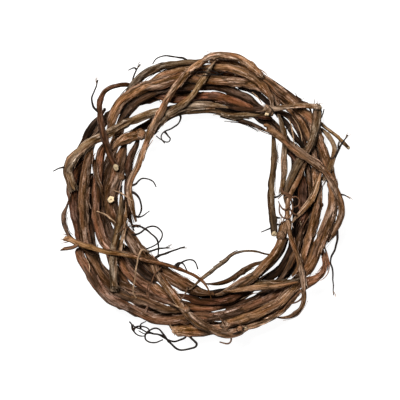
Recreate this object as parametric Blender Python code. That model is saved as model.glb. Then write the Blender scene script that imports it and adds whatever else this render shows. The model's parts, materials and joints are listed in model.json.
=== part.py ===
"""Woven wreath of dried vine stems, lying flat on its back.

Every stem is its own solid: a tube that follows a route traced by eye on the
photo.  The routes are then drawn together by a small relaxation, so that the
stems bend over and under each other with a hair of air between them.  Curly
tendrils and thin twigs are joined to the stem they grow from.
"""
import math

import bmesh
import bpy
import numpy as np

NAME = "vine_wreath"
MM = 0.001

LEVEL_STEP = 3.7        # mm of height from one route level to the next
GAP = 0.34              # mm of air kept between two stems
RING_STEP = 9.5         # mm between two rings of a straight tube
RING_STEP_TIGHT = 5.0   # mm between two rings in a tight bend
TURN_PER_RING = 0.36    # radians a tube may turn from ring to ring
WAVE_HEIGHT = 2.2       # mm the underside rises between its three low places
WAVE_PHASE = 38.0       # degrees, where the first low place is
FOOT_STEM = "hoop_outer"  # the stem that rests on the ground
FLAT_DEPTH = 0.35       # mm taken off a low tube, so that it has a flat to rest on
ROUNDS = 260            # rounds of the relaxation
LAST_ROUNDS = 90        # rounds that only push overlapping stems apart
SIDEWAYS = np.array([0.6, 0.6, 1.0])  # share of a push that is taken in X, Y and Z
WINDOW = 42.0           # mm of stem that looks for one neighbour to lean on

# Bark colours, linear, with a roughness each.
TONES = {
    "dark": ((0.050, 0.032, 0.022), 0.88),
    "plum": ((0.150, 0.082, 0.062), 0.82),
    "rust": ((0.155, 0.062, 0.034), 0.80),
    "red": ((0.150, 0.066, 0.038), 0.80),
    "brown": ((0.170, 0.092, 0.052), 0.82),
    "orange": ((0.270, 0.128, 0.060), 0.78),
    "tan": ((0.290, 0.168, 0.090), 0.78),
    "light": ((0.340, 0.205, 0.112), 0.76),
    "gold": ((0.330, 0.180, 0.072), 0.70),
    "olive": ((0.180, 0.135, 0.078), 0.84),
    "grey": ((0.190, 0.145, 0.100), 0.86),
}

# name, bark tone, first and last diameter in mm, usual level, and the route:
# degrees round the ring from +X, mm from the middle, and a level where it differs.
STEMS = (
    ("hoop_outer", "dark", 9.6, 8.6, 0, (
        (4, 128.9, 0.4), (14, 126.9, 0.2), (24, 125.9, 0), (34, 125.9, 0), (44, 126.4, 0),
        (54, 127, 0.3), (64, 126.8, 0.6), (74, 126, 0.8), (84, 124.8, 0.8), (94, 122.8, 0.8),
        (104, 120.6, 0.6), (114, 117.6, 0.4), (124, 114.4, 0.2), (134, 112.2, 0),
        (144, 105.5, 0), (154, 101, 0), (164, 100.5, 0), (174, 100.9, 0.2), (184, 101.9, 0.5),
        (194, 102.9, 0.8), (204, 103.2, 1), (214, 102.8, 1), (224, 101.6, 0.9),
        (234, 101.6, 0.7), (244, 103.4, 0.5), (254, 108.5, 0.3), (264, 114, 0.1),
        (274, 119.6, 0), (284, 122, 0), (294, 123.8, 0.2), (304, 125, 0.5), (314, 125.8, 0.8),
        (324, 126.4, 1), (334, 127, 1), (344, 127.8, 0.9), (354, 129, 0.7),
    )),
    ("hoop_inner", "dark", 9, 8.2, 1, (
        (338, 101.5, 1.2), (348, 100.1, 1.2), (358, 99.5, 1.2), (368, 99.5, 1.2),
        (378, 99.9, 1.2), (388, 100.5, 1.2), (398, 101.1, 1.2), (408, 101.5, 1.2),
        (418, 101.1, 1.2), (428, 100.3, 1.2), (438, 100.1, 1.2), (448, 100.9, 1.3),
        (458, 103.5, 1.6), (468, 108.1, 2.2), (478, 114, 2.6), (488, 119.4, 2.6),
        (498, 123.4, 2.3), (508, 125.8, 1.5), (518, 127.2, 0.9), (528, 128, 0.8),
        (538, 128, 0.7), (548, 127.4, 0.6), (558, 126.6, 0.6), (568, 126, 0.6),
        (578, 125.4, 0.7), (588, 124.6, 0.9), (598, 123.2, 1.2), (608, 120.6, 1.8),
        (618, 116.8, 2.4), (628, 112.6, 2.6), (638, 108.9, 2.2), (648, 105.9, 1.8),
        (658, 104.1, 1.4), (668, 103.3, 1.2), (677, 102.9, 1.2),
    )),
    ("arch_cane", "tan", 7, 6, 9.5, (
        (64, 136.3), (67, 138.3), (70, 139.8), (73, 141.8), (76, 143.1), (79, 143.5),
        (83, 142.6), (86, 140.8), (88, 138.3), (90, 135.3), (92, 132.3), (94, 129.3),
        (96, 125.9), (98, 122.4), (100, 118.9), (103, 114.9), (106, 110.4), (109, 106),
        (112, 101.5), (115, 97.5), (118, 93), (121, 90), (124, 87.1), (128, 84.1), (132, 81.1),
        (136, 78.6), (140, 76.6), (145, 74.4), (150, 73.6), (155, 72.6), (160, 72.8),
        (164, 74.1, 8), (170, 75.1, 7), (176, 75.1, 6), (182, 74.1, 6), (188, 72.6, 6),
        (194, 72.1, 5), (200, 72.6, 4),
    )),
    ("drop_cane", "olive", 6.5, 6, 8.4, (
        (84.5, 137.3, 8), (86, 132.3), (87, 126.9), (88.5, 121.4), (90.5, 115.4),
        (92.5, 109.5), (95, 103.5), (98, 99), (102, 95.5), (106, 93), (110, 91.5, 7.5),
        (114, 91, 7), (118, 88, 6.8), (122, 85.6, 6.6), (126, 83.4, 6.4), (130, 81.4, 6.2),
        (135, 78.6, 6), (140, 76.2, 5.8), (145, 74.4, 5.4),
    )),
    ("crown_cane", "red", 7.8, 6, 6.8, (
        (52, 113.4, 6.6), (54, 117.4, 6.8), (57, 121.9, 6.8), (61, 125.9, 6.8),
        (65, 128.4, 6.8), (70, 130, 6.8), (75, 130.8, 6.8), (80, 130.6, 6.8), (84, 129.6, 6.8),
        (88, 127.9, 6.8), (92, 126.7, 6.8), (97, 126.7, 6.8), (102, 127.7, 6.8),
        (106, 128.4, 6.8), (110, 128.4, 6.8), (114, 125.4, 5.6), (118, 124.7, 5.6),
        (122, 125.9, 4.8), (126, 128.3, 4.3), (131, 129.3, 3.8),
    )),
    ("ridge_cane", "grey", 6, 7.6, 7.2, (
        (89, 133.8, 6.5), (92, 133.3, 7.2), (96, 134.1, 7.2), (100, 134.5, 7.2),
        (104, 134.9, 7.2), (108, 135.3, 7.2), (112, 135.1, 7.2), (116, 133.8, 7.2),
        (119, 131.9, 6.4), (122, 129.8, 5.4), (126, 126.4, 4.6),
    )),
    ("thick_nw", "brown", 11.5, 7, 7, (
        (146, 115.9), (142, 117.9), (138, 119.9), (134, 121.9), (130, 123.4), (126, 123.7),
        (122, 122.4), (118, 120.9), (114, 119.9), (110, 119.4), (106, 119.6), (102, 120.4),
        (98, 120.4, 6.5), (94, 117.9, 6.2), (90, 116.2), (85, 116), (80, 116.4), (76, 117),
        (72, 118.2), (68, 119.9, 5.5), (64, 121.4, 5), (60.5, 121.3, 4.8), (57, 119.3, 4.6),
        (53.5, 116.8, 4.6), (50.3, 114.5, 4.6),
    )),
    ("hook_nw", "red", 4.6, 6.2, 9, (
        (119, 126.4, 3.5), (121, 129.8, 4.5), (123, 132.8, 5.5), (125, 136.3, 6.5),
        (127, 139.3, 7), (129, 141.6, 7.5), (131, 143.1, 8), (133, 143.5, 8.5),
        (135, 142.3, 9), (137, 139.6), (139, 136.1), (141, 132.3), (143, 128.4), (145, 124.2),
        (147, 119.9), (149, 115.2), (151, 110.9), (153, 107), (155, 103), (157, 99.3),
        (159, 95.5), (161.3, 91.7),
    )),
    ("red_top", "rust", 8.8, 6, 4.6, (
        (49, 105, 4), (53, 101.5, 4.6), (57, 100.3, 4.6), (61, 100.3, 4.6), (65, 100.8, 4.6),
        (70, 101.5, 4.6), (75, 101.8, 4.6), (80, 101.9, 4.6), (85, 101.5, 4.6), (90, 101, 4.6),
        (95, 100.3, 4.6), (100, 99.5, 4.6), (104, 99.5, 4), (107, 100.7, 4.6), (110, 103.5, 3),
        (113, 107.8, 3), (116, 111.9, 3), (119, 115.7, 3), (123, 119.4, 3),
    )),
    ("shade_top", "dark", 9.2, 7.4, 3.2, (
        (55, 108.7, 3.2), (60, 108.2, 3.2), (65, 108.7, 3.2), (70, 109.3, 3.2),
        (75, 109.9, 3.2), (80, 111.1, 3.2), (85, 112, 3.2), (90, 110.7, 3.2), (95, 110.4, 3.2),
        (100, 111.9, 3.2), (105, 113.9, 3.2), (110, 115.4, 3.2), (114, 115.9, 3.2),
        (118, 115.6, 3.8), (122, 116.3, 4.4), (126, 116.8, 4.6), (130, 116.4, 4.6),
        (134, 114.4, 4.4), (138, 111.6, 4), (142, 108.8, 3.6), (146, 106.3, 3.2),
    )),
    ("knot_cane", "grey", 7, 9.4, 6, (
        (74, 93, 5.5), (78, 92.3), (82, 92.1), (86, 91.7), (90, 91.5), (95, 91.8), (100, 92.1),
        (104, 91.7), (108, 91.7), (112, 93.3, 6.5), (116, 95.5), (120, 97.7, 7),
        (125, 100.1, 8), (130, 102.3, 8), (135, 105.5, 8), (140, 109, 8), (145, 112.7, 8),
        (149, 117.4, 8), (152, 122.2, 8), (155, 126.9, 8), (158, 129.6, 8), (161, 132.9, 8),
        (164, 135.9, 8), (167, 137.9, 8), (170, 137.4, 7.5), (172, 135.1, 8), (174, 132.3, 8),
        (176.5, 129.9, 7.6),
    )),
    ("rim_top", "olive", 5.2, 5.6, 5.6, (
        (50, 104, 5), (53, 101), (56, 97.5), (59, 94.5), (62, 91.8), (65, 89.4), (68, 87.1),
        (71, 85.6), (74, 85), (78, 85.6), (82, 86.4), (87, 86.6), (92, 86.6), (97, 87.2),
        (101, 87.9), (106, 88.2), (111, 87.8), (116, 86.9, 5), (121, 85.1, 5), (127, 84, 4.2),
        (132, 86, 3.6), (137, 89, 3.2), (142, 92.6, 3), (147, 95.4, 2.8),
    )),
    ("rim_ne", "rust", 5, 4.4, 6.3, (
        (43, 94.3, 5), (46, 92.3), (50, 90.3), (54, 88.6), (58, 87), (62, 85.6), (66, 84.4, 6),
        (70, 83, 6), (74, 81.9, 5.6), (78, 82.2, 5),
    )),
    ("red_ne", "rust", 6.5, 5, 5, (
        (18, 112.6, 2.4), (24, 113.7, 2.4), (30, 115.1, 2.4), (35, 116.2, 2.4),
        (40.5, 117.8, 2.5), (45, 116.4, 2.8), (49, 112.3, 3.4), (53, 107, 4), (57, 101.3, 5.2),
        (61, 97.9, 5.4), (65, 95.7, 5.2), (69, 94.1, 5), (73, 93.1, 4.4), (77, 92.7, 3.6),
    )),
    ("light_ne", "light", 5.2, 6.4, 9, (
        (37.6, 147.6, 8.6), (39.8, 140.6, 8.6), (41.8, 134.2, 8.6), (44, 127.8, 8.6),
        (45.9, 122.2, 8.6), (48.1, 116.8, 8.6), (50, 112.6, 8.6), (52, 108.4, 8.6),
        (53.8, 105, 8.6),
    )),
    ("corner_ne", "grey", 8.8, 6.2, 8.3, (
        (38, 145.3, 6), (36.1, 140.9, 6.3), (33.3, 134.9, 6.8), (30.2, 129.3, 7.4),
        (27, 123.3, 7.8), (24.4, 116.4, 7.8), (22, 109, 7.6), (20, 103.5, 7.4), (17, 99, 7.2),
        (14, 95.3, 7), (10, 91, 6.8), (6, 87.1, 6.6), (2, 84.1, 6), (-2, 83.6, 5),
        (-5.5, 84.8, 4.6), (-8.5, 86.4, 4.4),
    )),
    ("long_ne", "brown", 8.4, 10.6, 6.2, (
        (86, 137, 3.4), (82, 137.2, 3.6), (78, 136, 4), (74, 133.8, 4.6), (70, 132.7, 5.4),
        (65, 131.3, 6), (60, 130.3), (55, 129.7), (50, 129.3), (46, 129, 5.4), (42, 129.6, 5),
        (38, 131.5, 5.2), (34, 131.3, 5), (30, 129, 5), (26, 127, 5.4), (22, 126.6, 5.6),
        (18, 126.4, 5.6), (14, 126.4, 5.4), (10, 127.4, 5.2), (6, 129, 5.6), (2, 129.3, 6),
        (-2, 129.9, 6.6), (-6, 129.5, 7), (-10, 128.8, 7.6), (-14, 127.4, 8), (-18, 126.2, 8),
        (-22, 125.6, 8), (-26, 125.4, 8), (-30, 127, 8), (-34, 127, 8), (-37.6, 125.4, 7.6),
    )),
    ("edge_ne", "dark", 3, 4.8, 4.6, (
        (70, 136.9, 4.4), (66, 135.7, 4.6), (61, 135.5), (56, 135.1), (51, 135.1), (47, 135.5),
        (44, 136.9, 4.2), (41.6, 140.5, 4.2), (39, 139, 3.6), (36.7, 136.5, 3),
    )),
    ("mid_ne", "brown", 8, 8.2, 5, (
        (46, 124, 3.4), (42, 123.8, 3.8), (38, 123.6, 4), (34, 123, 4.2), (30, 122.2, 4.4),
        (26, 120.2, 5), (22, 118.8, 5.2), (18, 117.4, 5.2), (14, 116.2, 5), (10, 115, 5),
        (6, 114.2, 5.6), (2, 114.2, 6), (-2, 114.4, 6.4), (-6, 114, 6.4), (-10, 113.6, 6.4),
        (-14, 113.8, 6.4), (-18, 114.4, 6.4), (-22, 114.8, 6.4), (-26, 115.4, 6.4),
        (-30, 116.6, 6.2), (-34, 118, 6), (-38, 119, 5.4), (-42, 118.8, 5),
    )),
    ("sweep_ne", "tan", 6.4, 6.6, 9.6, (
        (46, 94.1), (43, 95.5), (39, 97.3), (35, 98.9), (31, 100.5), (27.5, 102.9),
        (24, 106.5), (21, 110.4), (18, 114.8), (15, 119.4), (12, 124), (9, 127.6),
        (5, 131.1, 9.2), (1, 134.3, 9), (-3, 137.1, 8.8), (-6.5, 138.5, 8.8), (-9, 138.1, 8.6),
        (-12, 136.1, 8.4), (-15, 133.7, 8), (-18.5, 131.3, 7),
    )),
    ("hook_ne", "grey", 4, 5.6, 7, (
        (33, 131.8, 4), (31, 134.8, 5), (28.5, 137.3, 6), (26, 138.9, 6.6), (23.5, 140.1),
        (21, 139.9), (19, 137.9), (17, 135.1), (15, 132.1), (12.8, 129.3, 6.4),
        (10.4, 123.8, 6.4), (8.4, 120.4, 5.6),
    )),
    ("twig_ne", "olive", 4, 3, 5.6, (
        (35, 135.3, 4.6), (32.5, 137.7, 5), (30, 139.7), (27, 142.9), (24, 146.5), (21, 150.4),
        (18.6, 154),
    )),
    ("inner_rod_long", "olive", 4.8, 7, 6.4, (
        (47, 99.5, 4), (43.5, 96.1, 5), (40, 92, 5.4), (36.5, 88, 5.6), (33, 83.7, 6),
        (28, 79.1), (23, 75.1), (18, 71.7), (12, 68.8), (6, 67), (0, 66.2), (-5, 66.2),
        (-10, 68.4), (-15, 70.4), (-20, 73.1), (-24, 75.7), (-28, 77.9),
    )),
    ("inner_rod_short", "grey", 6.2, 5, 5.6, (
        (47.6, 111.8, 7.2), (44, 108.1, 7.2), (40, 104.9, 7), (36.4, 101.3, 7),
        (32.8, 97.5, 6.8), (29.5, 94.1, 6.4), (26, 91.1, 6), (22, 87.6, 6), (18, 85.5, 6),
        (13, 82.7, 6), (8, 81.1, 6), (3, 79.9, 6),
    )),
    ("slant_e", "light", 5.6, 6, 8.4, (
        (-17.4, 91.1, 8), (-13.5, 94.1), (-10, 97.3), (-7, 100.9), (-4, 104.9), (-1, 109.1),
        (2, 112.8), (5, 116), (8, 118.6), (10.6, 121, 8), (13, 124, 7),
    )),
    ("red_e", "rust", 8.4, 7, 5.4, (
        (-14, 101, 6.4), (-10, 102.9, 5.8), (-6, 101.3, 5.4), (-2, 100.1), (2, 99.9),
        (6, 100.1), (10, 100.7), (14, 101.1), (18, 102.5, 4.6), (22, 102.5, 4.2),
        (26, 100.9, 4), (30, 98.3, 4),
    )),
    ("fibre_e", "brown", 7.4, 7.2, 4.6, (
        (35, 102.5, 3.6), (30, 104.2, 3.8), (25, 106.2, 4.2), (20, 108.1), (15, 107.5),
        (10, 106.9), (5, 106.5), (0, 106.9), (-5, 107.3), (-10, 106.7), (-15, 105.5, 4.8),
        (-20, 104.9), (-25, 105.3, 5), (-30, 107.5, 5.2), (-34, 109.8, 5.4), (-38, 111.6, 5.6),
        (-42, 113, 5.6), (-46, 114, 5.2), (-50, 115, 4.6),
    )),
    ("shade_e", "dark", 8.6, 7.6, 3.2, (
        (24, 100.4, 3), (18, 97.4, 3), (12, 94.5), (6, 93.9), (0, 93.7), (-5, 94.5),
        (-10, 95.9), (-15, 97.5), (-20, 98.9), (-25, 100.5, 3.4), (-30, 102.9, 3.6),
        (-35, 105.1, 3.8), (-40, 106.5, 4), (-45, 106.7, 4), (-50, 105.9, 4),
        (-55, 104.5, 3.6), (-60, 104.5, 3.2),
    )),
    ("swing_se", "tan", 4.8, 4.6, 9.4, (
        (22, 112.6, 7.8), (19.5, 108.1, 7.8), (16.5, 103.5, 8), (13, 99.1, 8), (10, 95.3, 8),
        (7, 91.5, 7.8), (4, 88.2, 7.4), (0, 85.6, 7), (-4, 84.6, 7), (-8, 84.6, 7.4),
        (-12, 85.8, 8), (-16, 87.8, 8.8), (-20, 90.7, 9.4), (-23.5, 94.5, 9.4),
        (-26.5, 98.9, 9.4), (-29, 103.7, 9.4), (-31.2, 108.7, 9.4), (-33.4, 114, 9.4),
        (-35.6, 119.4, 9.4), (-38, 125, 9.4), (-40.4, 130.9, 9.4), (-43, 137.3, 9.2),
        (-45.4, 142.9, 9), (-48, 146.7, 8.4), (-51, 148.1, 8), (-54, 147.5, 7.4),
        (-56.6, 144.3, 6.4), (-59, 140.1, 5),
    )),
    ("frayed_se", "light", 10, 4.6, 7.6, (
        (-40.4, 132.6, 6.2), (-38.2, 135.2, 6.8), (-36.2, 138.1, 7.2), (-34, 140.3, 7.4),
        (-31.6, 140.7, 7.6), (-29.2, 139.5, 7.4), (-27, 136.5, 7), (-25, 133.3, 6),
        (-22.8, 129.7, 4.4), (-21, 125.4, 3.4),
    )),
    ("pair_se_a", "brown", 4.8, 5.8, 8.6, (
        (-78, 96.5, 6), (-74, 97.9, 7), (-70, 99.3, 7.6), (-66, 100.9, 8), (-62, 103.3, 8.4),
        (-58, 106.7), (-55, 110), (-52, 113.6), (-49, 117.6), (-46, 121.8),
        (-43.6, 125.4, 8.2), (-41.6, 128.4, 7.8),
    )),
    ("pair_se_b", "grey", 4.4, 5.2, 8.2, (
        (-70, 94.9, 5.4), (-66, 96.3, 6.4), (-62, 98.1, 7.4), (-58, 101.3, 8), (-54, 105.1),
        (-50.6, 109.5), (-47.4, 114.2), (-44.4, 118.8), (-41.6, 122.8, 7.8), (-39, 126.2, 7),
    )),
    ("orange_se", "tan", 10.2, 8, 6.8, (
        (-17.5, 88.2, 4.8), (-21.5, 88.2, 5.6), (-26.5, 89.7, 6.4), (-30, 91.7), (-33.5, 92.7),
        (-37, 93), (-41, 93.7), (-45, 93.4), (-49, 93.4), (-53, 93.7), (-57, 94.3),
        (-61, 95.3, 6.4), (-65, 96.1, 6), (-69, 96.5, 5.4), (-73, 97.9, 5), (-78, 99.1, 5),
        (-83, 99.9, 5),
    )),
    ("inner_se", "brown", 5.2, 5.8, 6, (
        (-42, 88.6, 4.2), (-46, 88.4, 4.2), (-50, 86, 4.2), (-54, 84.6, 4.2), (-58, 84.2, 4.2),
        (-62, 84.6, 4.6), (-66, 85.4, 5.6), (-70, 87.2, 6.6), (-74, 89, 7.6), (-78, 89.6, 8.2),
        (-82, 90.2, 8.6), (-86, 90.4, 8.8), (-90, 90.6, 9),
    )),
    ("inner_arch", "grey", 4.2, 2, 7, (
        (-99, 94, 8.8), (-95.5, 89.4, 8.6), (-92, 84.6, 8), (-89, 80.9, 7.4), (-85, 76.5),
        (-81, 73.1), (-77, 70.5), (-73, 68.7), (-69, 67.3), (-65, 65.2), (-60, 64.9),
        (-55, 65.6), (-50, 68.2), (-46.5, 71.6), (-43.6, 75.4, 6.2), (-41.4, 79.8, 5.2),
        (-39.8, 84.6, 4.4), (-38.2, 89.6, 3.8), (-36.6, 94, 3.6),
    )),
    ("thick_s", "tan", 9.6, 9, 7.4, (
        (-80.8, 126.2, 7), (-77, 125.8), (-73, 125.6), (-69, 125.6), (-65, 126), (-61, 126.8),
        (-57, 127.6), (-53, 128.2), (-49, 128.6), (-45.4, 129.3, 6.4), (-42, 130.1, 5),
    )),
    ("long_s", "plum", 9, 8.8, 6.6, (
        (203, 132.2, 5.4), (206, 133.5, 6.5), (210, 133, 6.9), (214, 132.8, 7.3),
        (218, 134.2, 7.7), (222, 135.2, 7.9), (226, 134.4, 7.9), (230, 133.1, 7.9),
        (234, 130.3, 7), (238, 129.2, 7), (242, 127.3, 7), (246, 127.4, 7), (250, 126.2, 7.2),
        (254, 124.8, 7.2), (258, 122.8, 7.2), (262, 120.4, 7.2), (266, 118.4, 7.2),
        (270, 117.8, 7.2), (275, 118, 7.2), (280, 118, 7.2), (285, 117.8, 7.2),
        (290, 117.8, 7.2), (295, 118.3, 7.2), (300, 119.2, 7.2), (305, 120, 6.2),
        (310, 120.2, 5.8), (315, 120.8, 5.2), (320, 121.4, 4.4),
    )),
    ("outer_s", "orange", 12.6, 6, 5.6, (
        (257.4, 136.1), (261, 134.7), (265, 133.7), (269, 132.7, 5), (273, 131.9, 4.6),
        (278, 132.3, 4.6), (283, 133.7, 5), (288, 135.7, 5.6), (292, 137.1), (296, 137.9),
        (300, 137.9), (304, 137.1), (308, 135.7, 5), (312, 134.3, 4.6), (316, 133.7, 4.2),
    )),
    ("cross_s", "tan", 7, 8.4, 9, (
        (233, 82.6, 8.4), (236, 85.8, 8.6), (240, 89.7), (244, 93.5), (248, 97.1),
        (251.6, 100.9), (254.6, 104.9), (257.4, 109.3), (260.2, 113.8), (263, 118.6),
        (265.8, 123.4), (269, 128), (272.4, 131.9), (276, 136.6), (280, 139.2), (284, 139.8),
        (287.6, 139),
    )),
    ("dark_s", "dark", 8.4, 7, 4.6, (
        (245.2, 133.9, 3.2), (249, 131.9, 3), (253, 129.7, 2.8), (257, 128.2, 2.6),
        (262, 127, 2.4), (267, 126.4, 2.4), (272, 126.8, 2.4), (277, 127.8, 2.6),
        (282, 129, 2.6),
    )),
    ("outer_w", "rust", 9.2, 9.6, 6, (
        (163, 124.9, 4.6), (166, 127.4, 5), (169, 129.3), (172, 130.5), (176, 131.1),
        (180, 130.9), (184, 130.5), (188, 129.7), (192, 129.2, 5.4), (196, 129.5, 5),
        (200, 130.9, 4.4), (204, 129.9, 4),
    )),
    ("second_w", "brown", 10.2, 9, 7, (
        (154, 121.9, 5.6), (158, 120.8, 6.4), (162, 119.6), (166, 118.6), (170, 118.2),
        (175, 118.4), (180, 119), (185, 120), (190, 121.6), (195, 123.4, 6.8), (200, 125, 6.4),
        (204, 126, 6), (208, 127, 6), (212, 126.8, 6), (216, 127.8, 6), (220, 128.5, 6),
        (224, 128.7, 5.8), (228, 127.2, 5.6), (232, 125.4, 5.4), (236, 122, 5.4),
        (240, 119.4, 5.6), (244, 118, 5.8), (248, 117.8, 6), (252, 117.2, 6),
        (256, 115.8, 5.8), (260, 113.4, 5.4),
    )),
    ("hook_w", "brown", 3.6, 4.8, 6, (
        (181, 134.9, 3.4), (183, 136.3, 4.4), (185, 138.7, 5.4), (187.4, 140.9), (190, 141.9),
        (193, 141.5), (196, 139.7), (199, 136.9), (201.6, 133.7, 7), (204, 130.7, 7.4),
        (207, 125.8, 7.6), (210, 121.8, 7), (213, 119, 6),
    )),
    ("golden_twig", "gold", 5.8, 2.8, 9.6, (
        (196.6, 144.4, 9.2), (197.4, 139.3), (199.6, 134.3), (201.8, 129), (204, 123.4),
        (206, 118.4), (208, 113.6), (210, 108.9), (212.4, 103.9), (215, 99.1), (218, 94.5),
        (221.4, 90.3), (225.4, 86.6), (230, 83), (235, 80), (240, 77.8), (245, 76.4),
        (250, 75.8), (255, 76.2), (260, 77.4), (264.4, 79.4), (268, 82.2), (270.8, 86.2),
        (272.8, 90.9), (274, 96.3), (274.6, 101.9),
    )),
    ("plum_w", "plum", 9.2, 7.8, 5.4, (
        (149, 110.9, 4.6), (153, 111.4, 5.4), (157, 110.6, 5.4), (161, 109.5, 5.4),
        (165, 108.1, 5.4), (170, 107.3, 5.4), (175, 106.9, 5.4), (180, 106.9, 5.4),
        (185, 107.3, 5.4), (190, 108.3, 5.4), (195, 109.3, 5.4), (200, 109.6, 5.4),
        (205, 108.9, 5.4), (210, 106.9, 5.4), (214, 105.1, 5.4), (218, 104.3, 5.4),
        (223, 105.9, 5.4), (228, 106.5, 5.4), (233, 107.3, 5.4), (238, 106.5, 5.4),
        (243, 107.5, 4.7), (248, 108.5, 4.2), (253, 109.5, 3.7), (258, 110, 3.6),
        (263, 110.6, 3.6), (268, 111, 3.6), (273, 111.2, 3.6), (278, 111.2, 3.6),
        (283, 110.8, 3.6), (288, 110, 3.6), (293, 108.5, 3.6), (298, 107.5, 3.6),
    )),
    ("light_w", "light", 4.2, 3.8, 6.6, (
        (157, 116.4, 4.6), (160, 113.6, 5.6), (163, 111, 6.6), (167, 108.3, 6.8),
        (171, 105.1, 6.8), (175, 102.5, 6.6), (180, 101.9, 5.6), (185, 101.5, 4.6),
    )),
    ("dark_w", "dark", 8.4, 7.6, 3, (
        (157, 99.5), (162, 98.9), (167, 98.7), (173, 98.9), (179, 99.1), (185, 99.4),
        (191, 99.4), (197, 99.6), (203, 99.4), (209, 97.2), (214, 94.4), (218, 93.2),
        (222, 93.6), (226, 94), (230, 95.2), (234, 95.4), (238, 95.7), (242, 94.3, 2.8),
        (247, 97.5, 2.6),
    )),
    ("thick_w", "brown", 12.4, 12.6, 5.2, (
        (143, 98, 4.4), (147, 96.1, 4.8), (151, 94.1), (155, 91.9), (159, 89.5), (163, 87.8),
        (167, 86.8), (171, 86.6), (176, 86.8), (181, 87.2), (186, 87.6), (191, 87.4),
        (196, 86), (201, 84.2), (206, 82.4), (211, 81.2), (216, 81), (221, 81.6),
        (226, 82.4, 5.4), (231, 83.2, 5.8), (236, 84, 6), (241, 84.6, 6), (246, 85.6, 6),
        (251, 86.8, 6), (256, 88.4, 6), (261, 90.3, 5.8), (266, 92.5, 5.6), (271, 94.9, 5.4),
        (276, 97.1, 5),
    )),
    ("rose_w", "plum", 7.6, 5.6, 4.4, (
        (134, 89.9, 3.6), (138, 87.6), (142, 85.6), (146, 84.4), (150, 83.6), (154, 83.2),
        (158, 81.8), (162, 80.4), (166, 79.6), (171, 79.2, 4), (177, 79.4, 4), (183, 78.8, 4),
        (189, 78, 4), (195, 76.4, 3.8), (200, 75.4, 3.6), (206, 74.8, 3.4),
    )),
    ("stump_nw", "tan", 7, 9.4, 6.4, (
        (156, 104, 3.8), (152, 102.3, 4.6), (148, 99.9, 5.4), (144.4, 96.9, 6),
        (141, 93.7, 6.4), (137.6, 90.3, 6.4), (134.6, 88.2, 6.4),
    )),
    ("slant_w", "olive", 5.4, 8, 7.6, (
        (172, 82.2, 4.4), (177, 81.6, 5.6), (182, 81, 6.6), (187, 81), (192, 82.6),
        (197, 85.8), (201, 89.4), (205, 93.5), (208.6, 98.3), (212, 103.5), (215.4, 109.1),
        (218.6, 114.6), (221.6, 120), (224.2, 125.2), (226.4, 129.9),
    )),
    ("slant_w_thin", "light", 4.2, 3.8, 7.8, (
        (183, 76.6, 5.8), (188, 77.2, 6.8), (193, 78.8, 7.4), (197, 81.2), (201, 84.6),
        (205, 88.8, 8), (208.4, 93.1, 8), (211.6, 97.9, 8), (214.4, 102.9, 7.4),
        (217, 108.5, 6.4),
    )),
    ("fibre_w", "brown", 7.6, 6.6, 4.6, (
        (168, 113.2, 3.4), (172, 113.4, 3.6), (177, 113.2, 3.8), (182, 112.8, 4),
        (186, 113, 4), (190, 114.2), (195, 115.8), (200, 118), (204, 120.4), (208, 122.6),
        (212, 124), (216, 124.4, 4.4), (220, 123.8), (224, 122.2), (228, 120.4), (232, 118.4),
        (236, 116, 4.2), (240, 113.8, 4), (245, 112.4, 4),
    )),
    ("sw_core", "plum", 9.6, 8.6, 3.6, (
        (209, 111), (214, 111.6), (219, 112.6), (224, 114), (229, 116, 3.6), (234, 117.6),
        (239, 120.4), (244, 122), (249, 122.4), (254, 120.4, 3.4), (259, 118, 3.2),
        (264, 115.4, 3),
    )),
    ("shade_s", "rust", 8, 7.4, 4.4, (
        (252, 101.5, 5.4), (257, 101.5, 5.4), (262, 101.9, 5.4), (267, 104.9, 5.4),
        (272, 105.1, 5.4), (277, 105.3, 5.4), (282, 105.1, 5.4), (287, 104.3, 5.4),
        (291, 102.9, 5.4), (295, 101.9, 5.4), (299, 101.9, 5.4),
    )),
    ("core_se", "plum", 9.2, 8.4, 4.2, (
        (281, 109.5, 4.4), (286, 110.3, 4.5), (291, 111.2, 4.6), (296, 112.4, 4.4), (300, 113),
        (305, 113.8), (310, 113.8), (315, 112.8), (320, 112.2, 4.4), (325, 111.4),
        (330, 110.4, 4.2), (335, 110.4), (340, 110.4), (345, 110), (350, 109.5),
    )),
    ("core_s", "dark", 8.6, 8, 2.6, (
        (262, 98.5), (268, 98.1), (274, 98.3), (280, 98.5), (286, 98.1), (292, 97.1),
        (298, 96.1), (304, 95.5), (310, 94.7), (316, 94.5), (322, 94.9), (328, 95.5),
        (334, 95.5),
    )),
    ("core_n", "dark", 8, 7.4, 2.6, (
        (40, 101.5), (46, 99.1), (52, 97.5), (58, 96.5), (64, 95.1), (70, 92.5), (76, 90.1),
        (82, 90.5), (88, 93.1), (94, 95.1), (100, 95.1), (106, 94.1), (112, 92.9),
        (117, 93.4, 2.8), (122, 91.8, 3), (127, 92, 3.2), (132, 94, 3.4), (137, 97, 3.3),
        (141, 99.2, 3.1), (144, 100.2, 3),
    )),
    ("edge_nw", "dark", 6.2, 6, 4.2, (
        (130, 134.3, 4), (135, 132.3), (140, 131.7), (146, 132.3), (152, 131.7), (157, 131.9),
        (162, 133.7), (167, 133.7, 3.6), (171, 130.3, 3),
    )),
    ("dark_ne", "dark", 6.6, 3.6, 3.4, (
        (72, 116.5, 3.8), (68, 116.8, 3.7), (64, 116.6, 3.6), (60, 116, 3.5), (56, 115, 3.4),
        (52, 113.4, 3.3), (48, 111.6, 3.2), (44, 111, 3.2), (39, 110.8, 3.2), (34, 110.6, 3.2),
        (29, 110.8), (24, 111.4), (20, 111.2),
    )),
)

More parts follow.
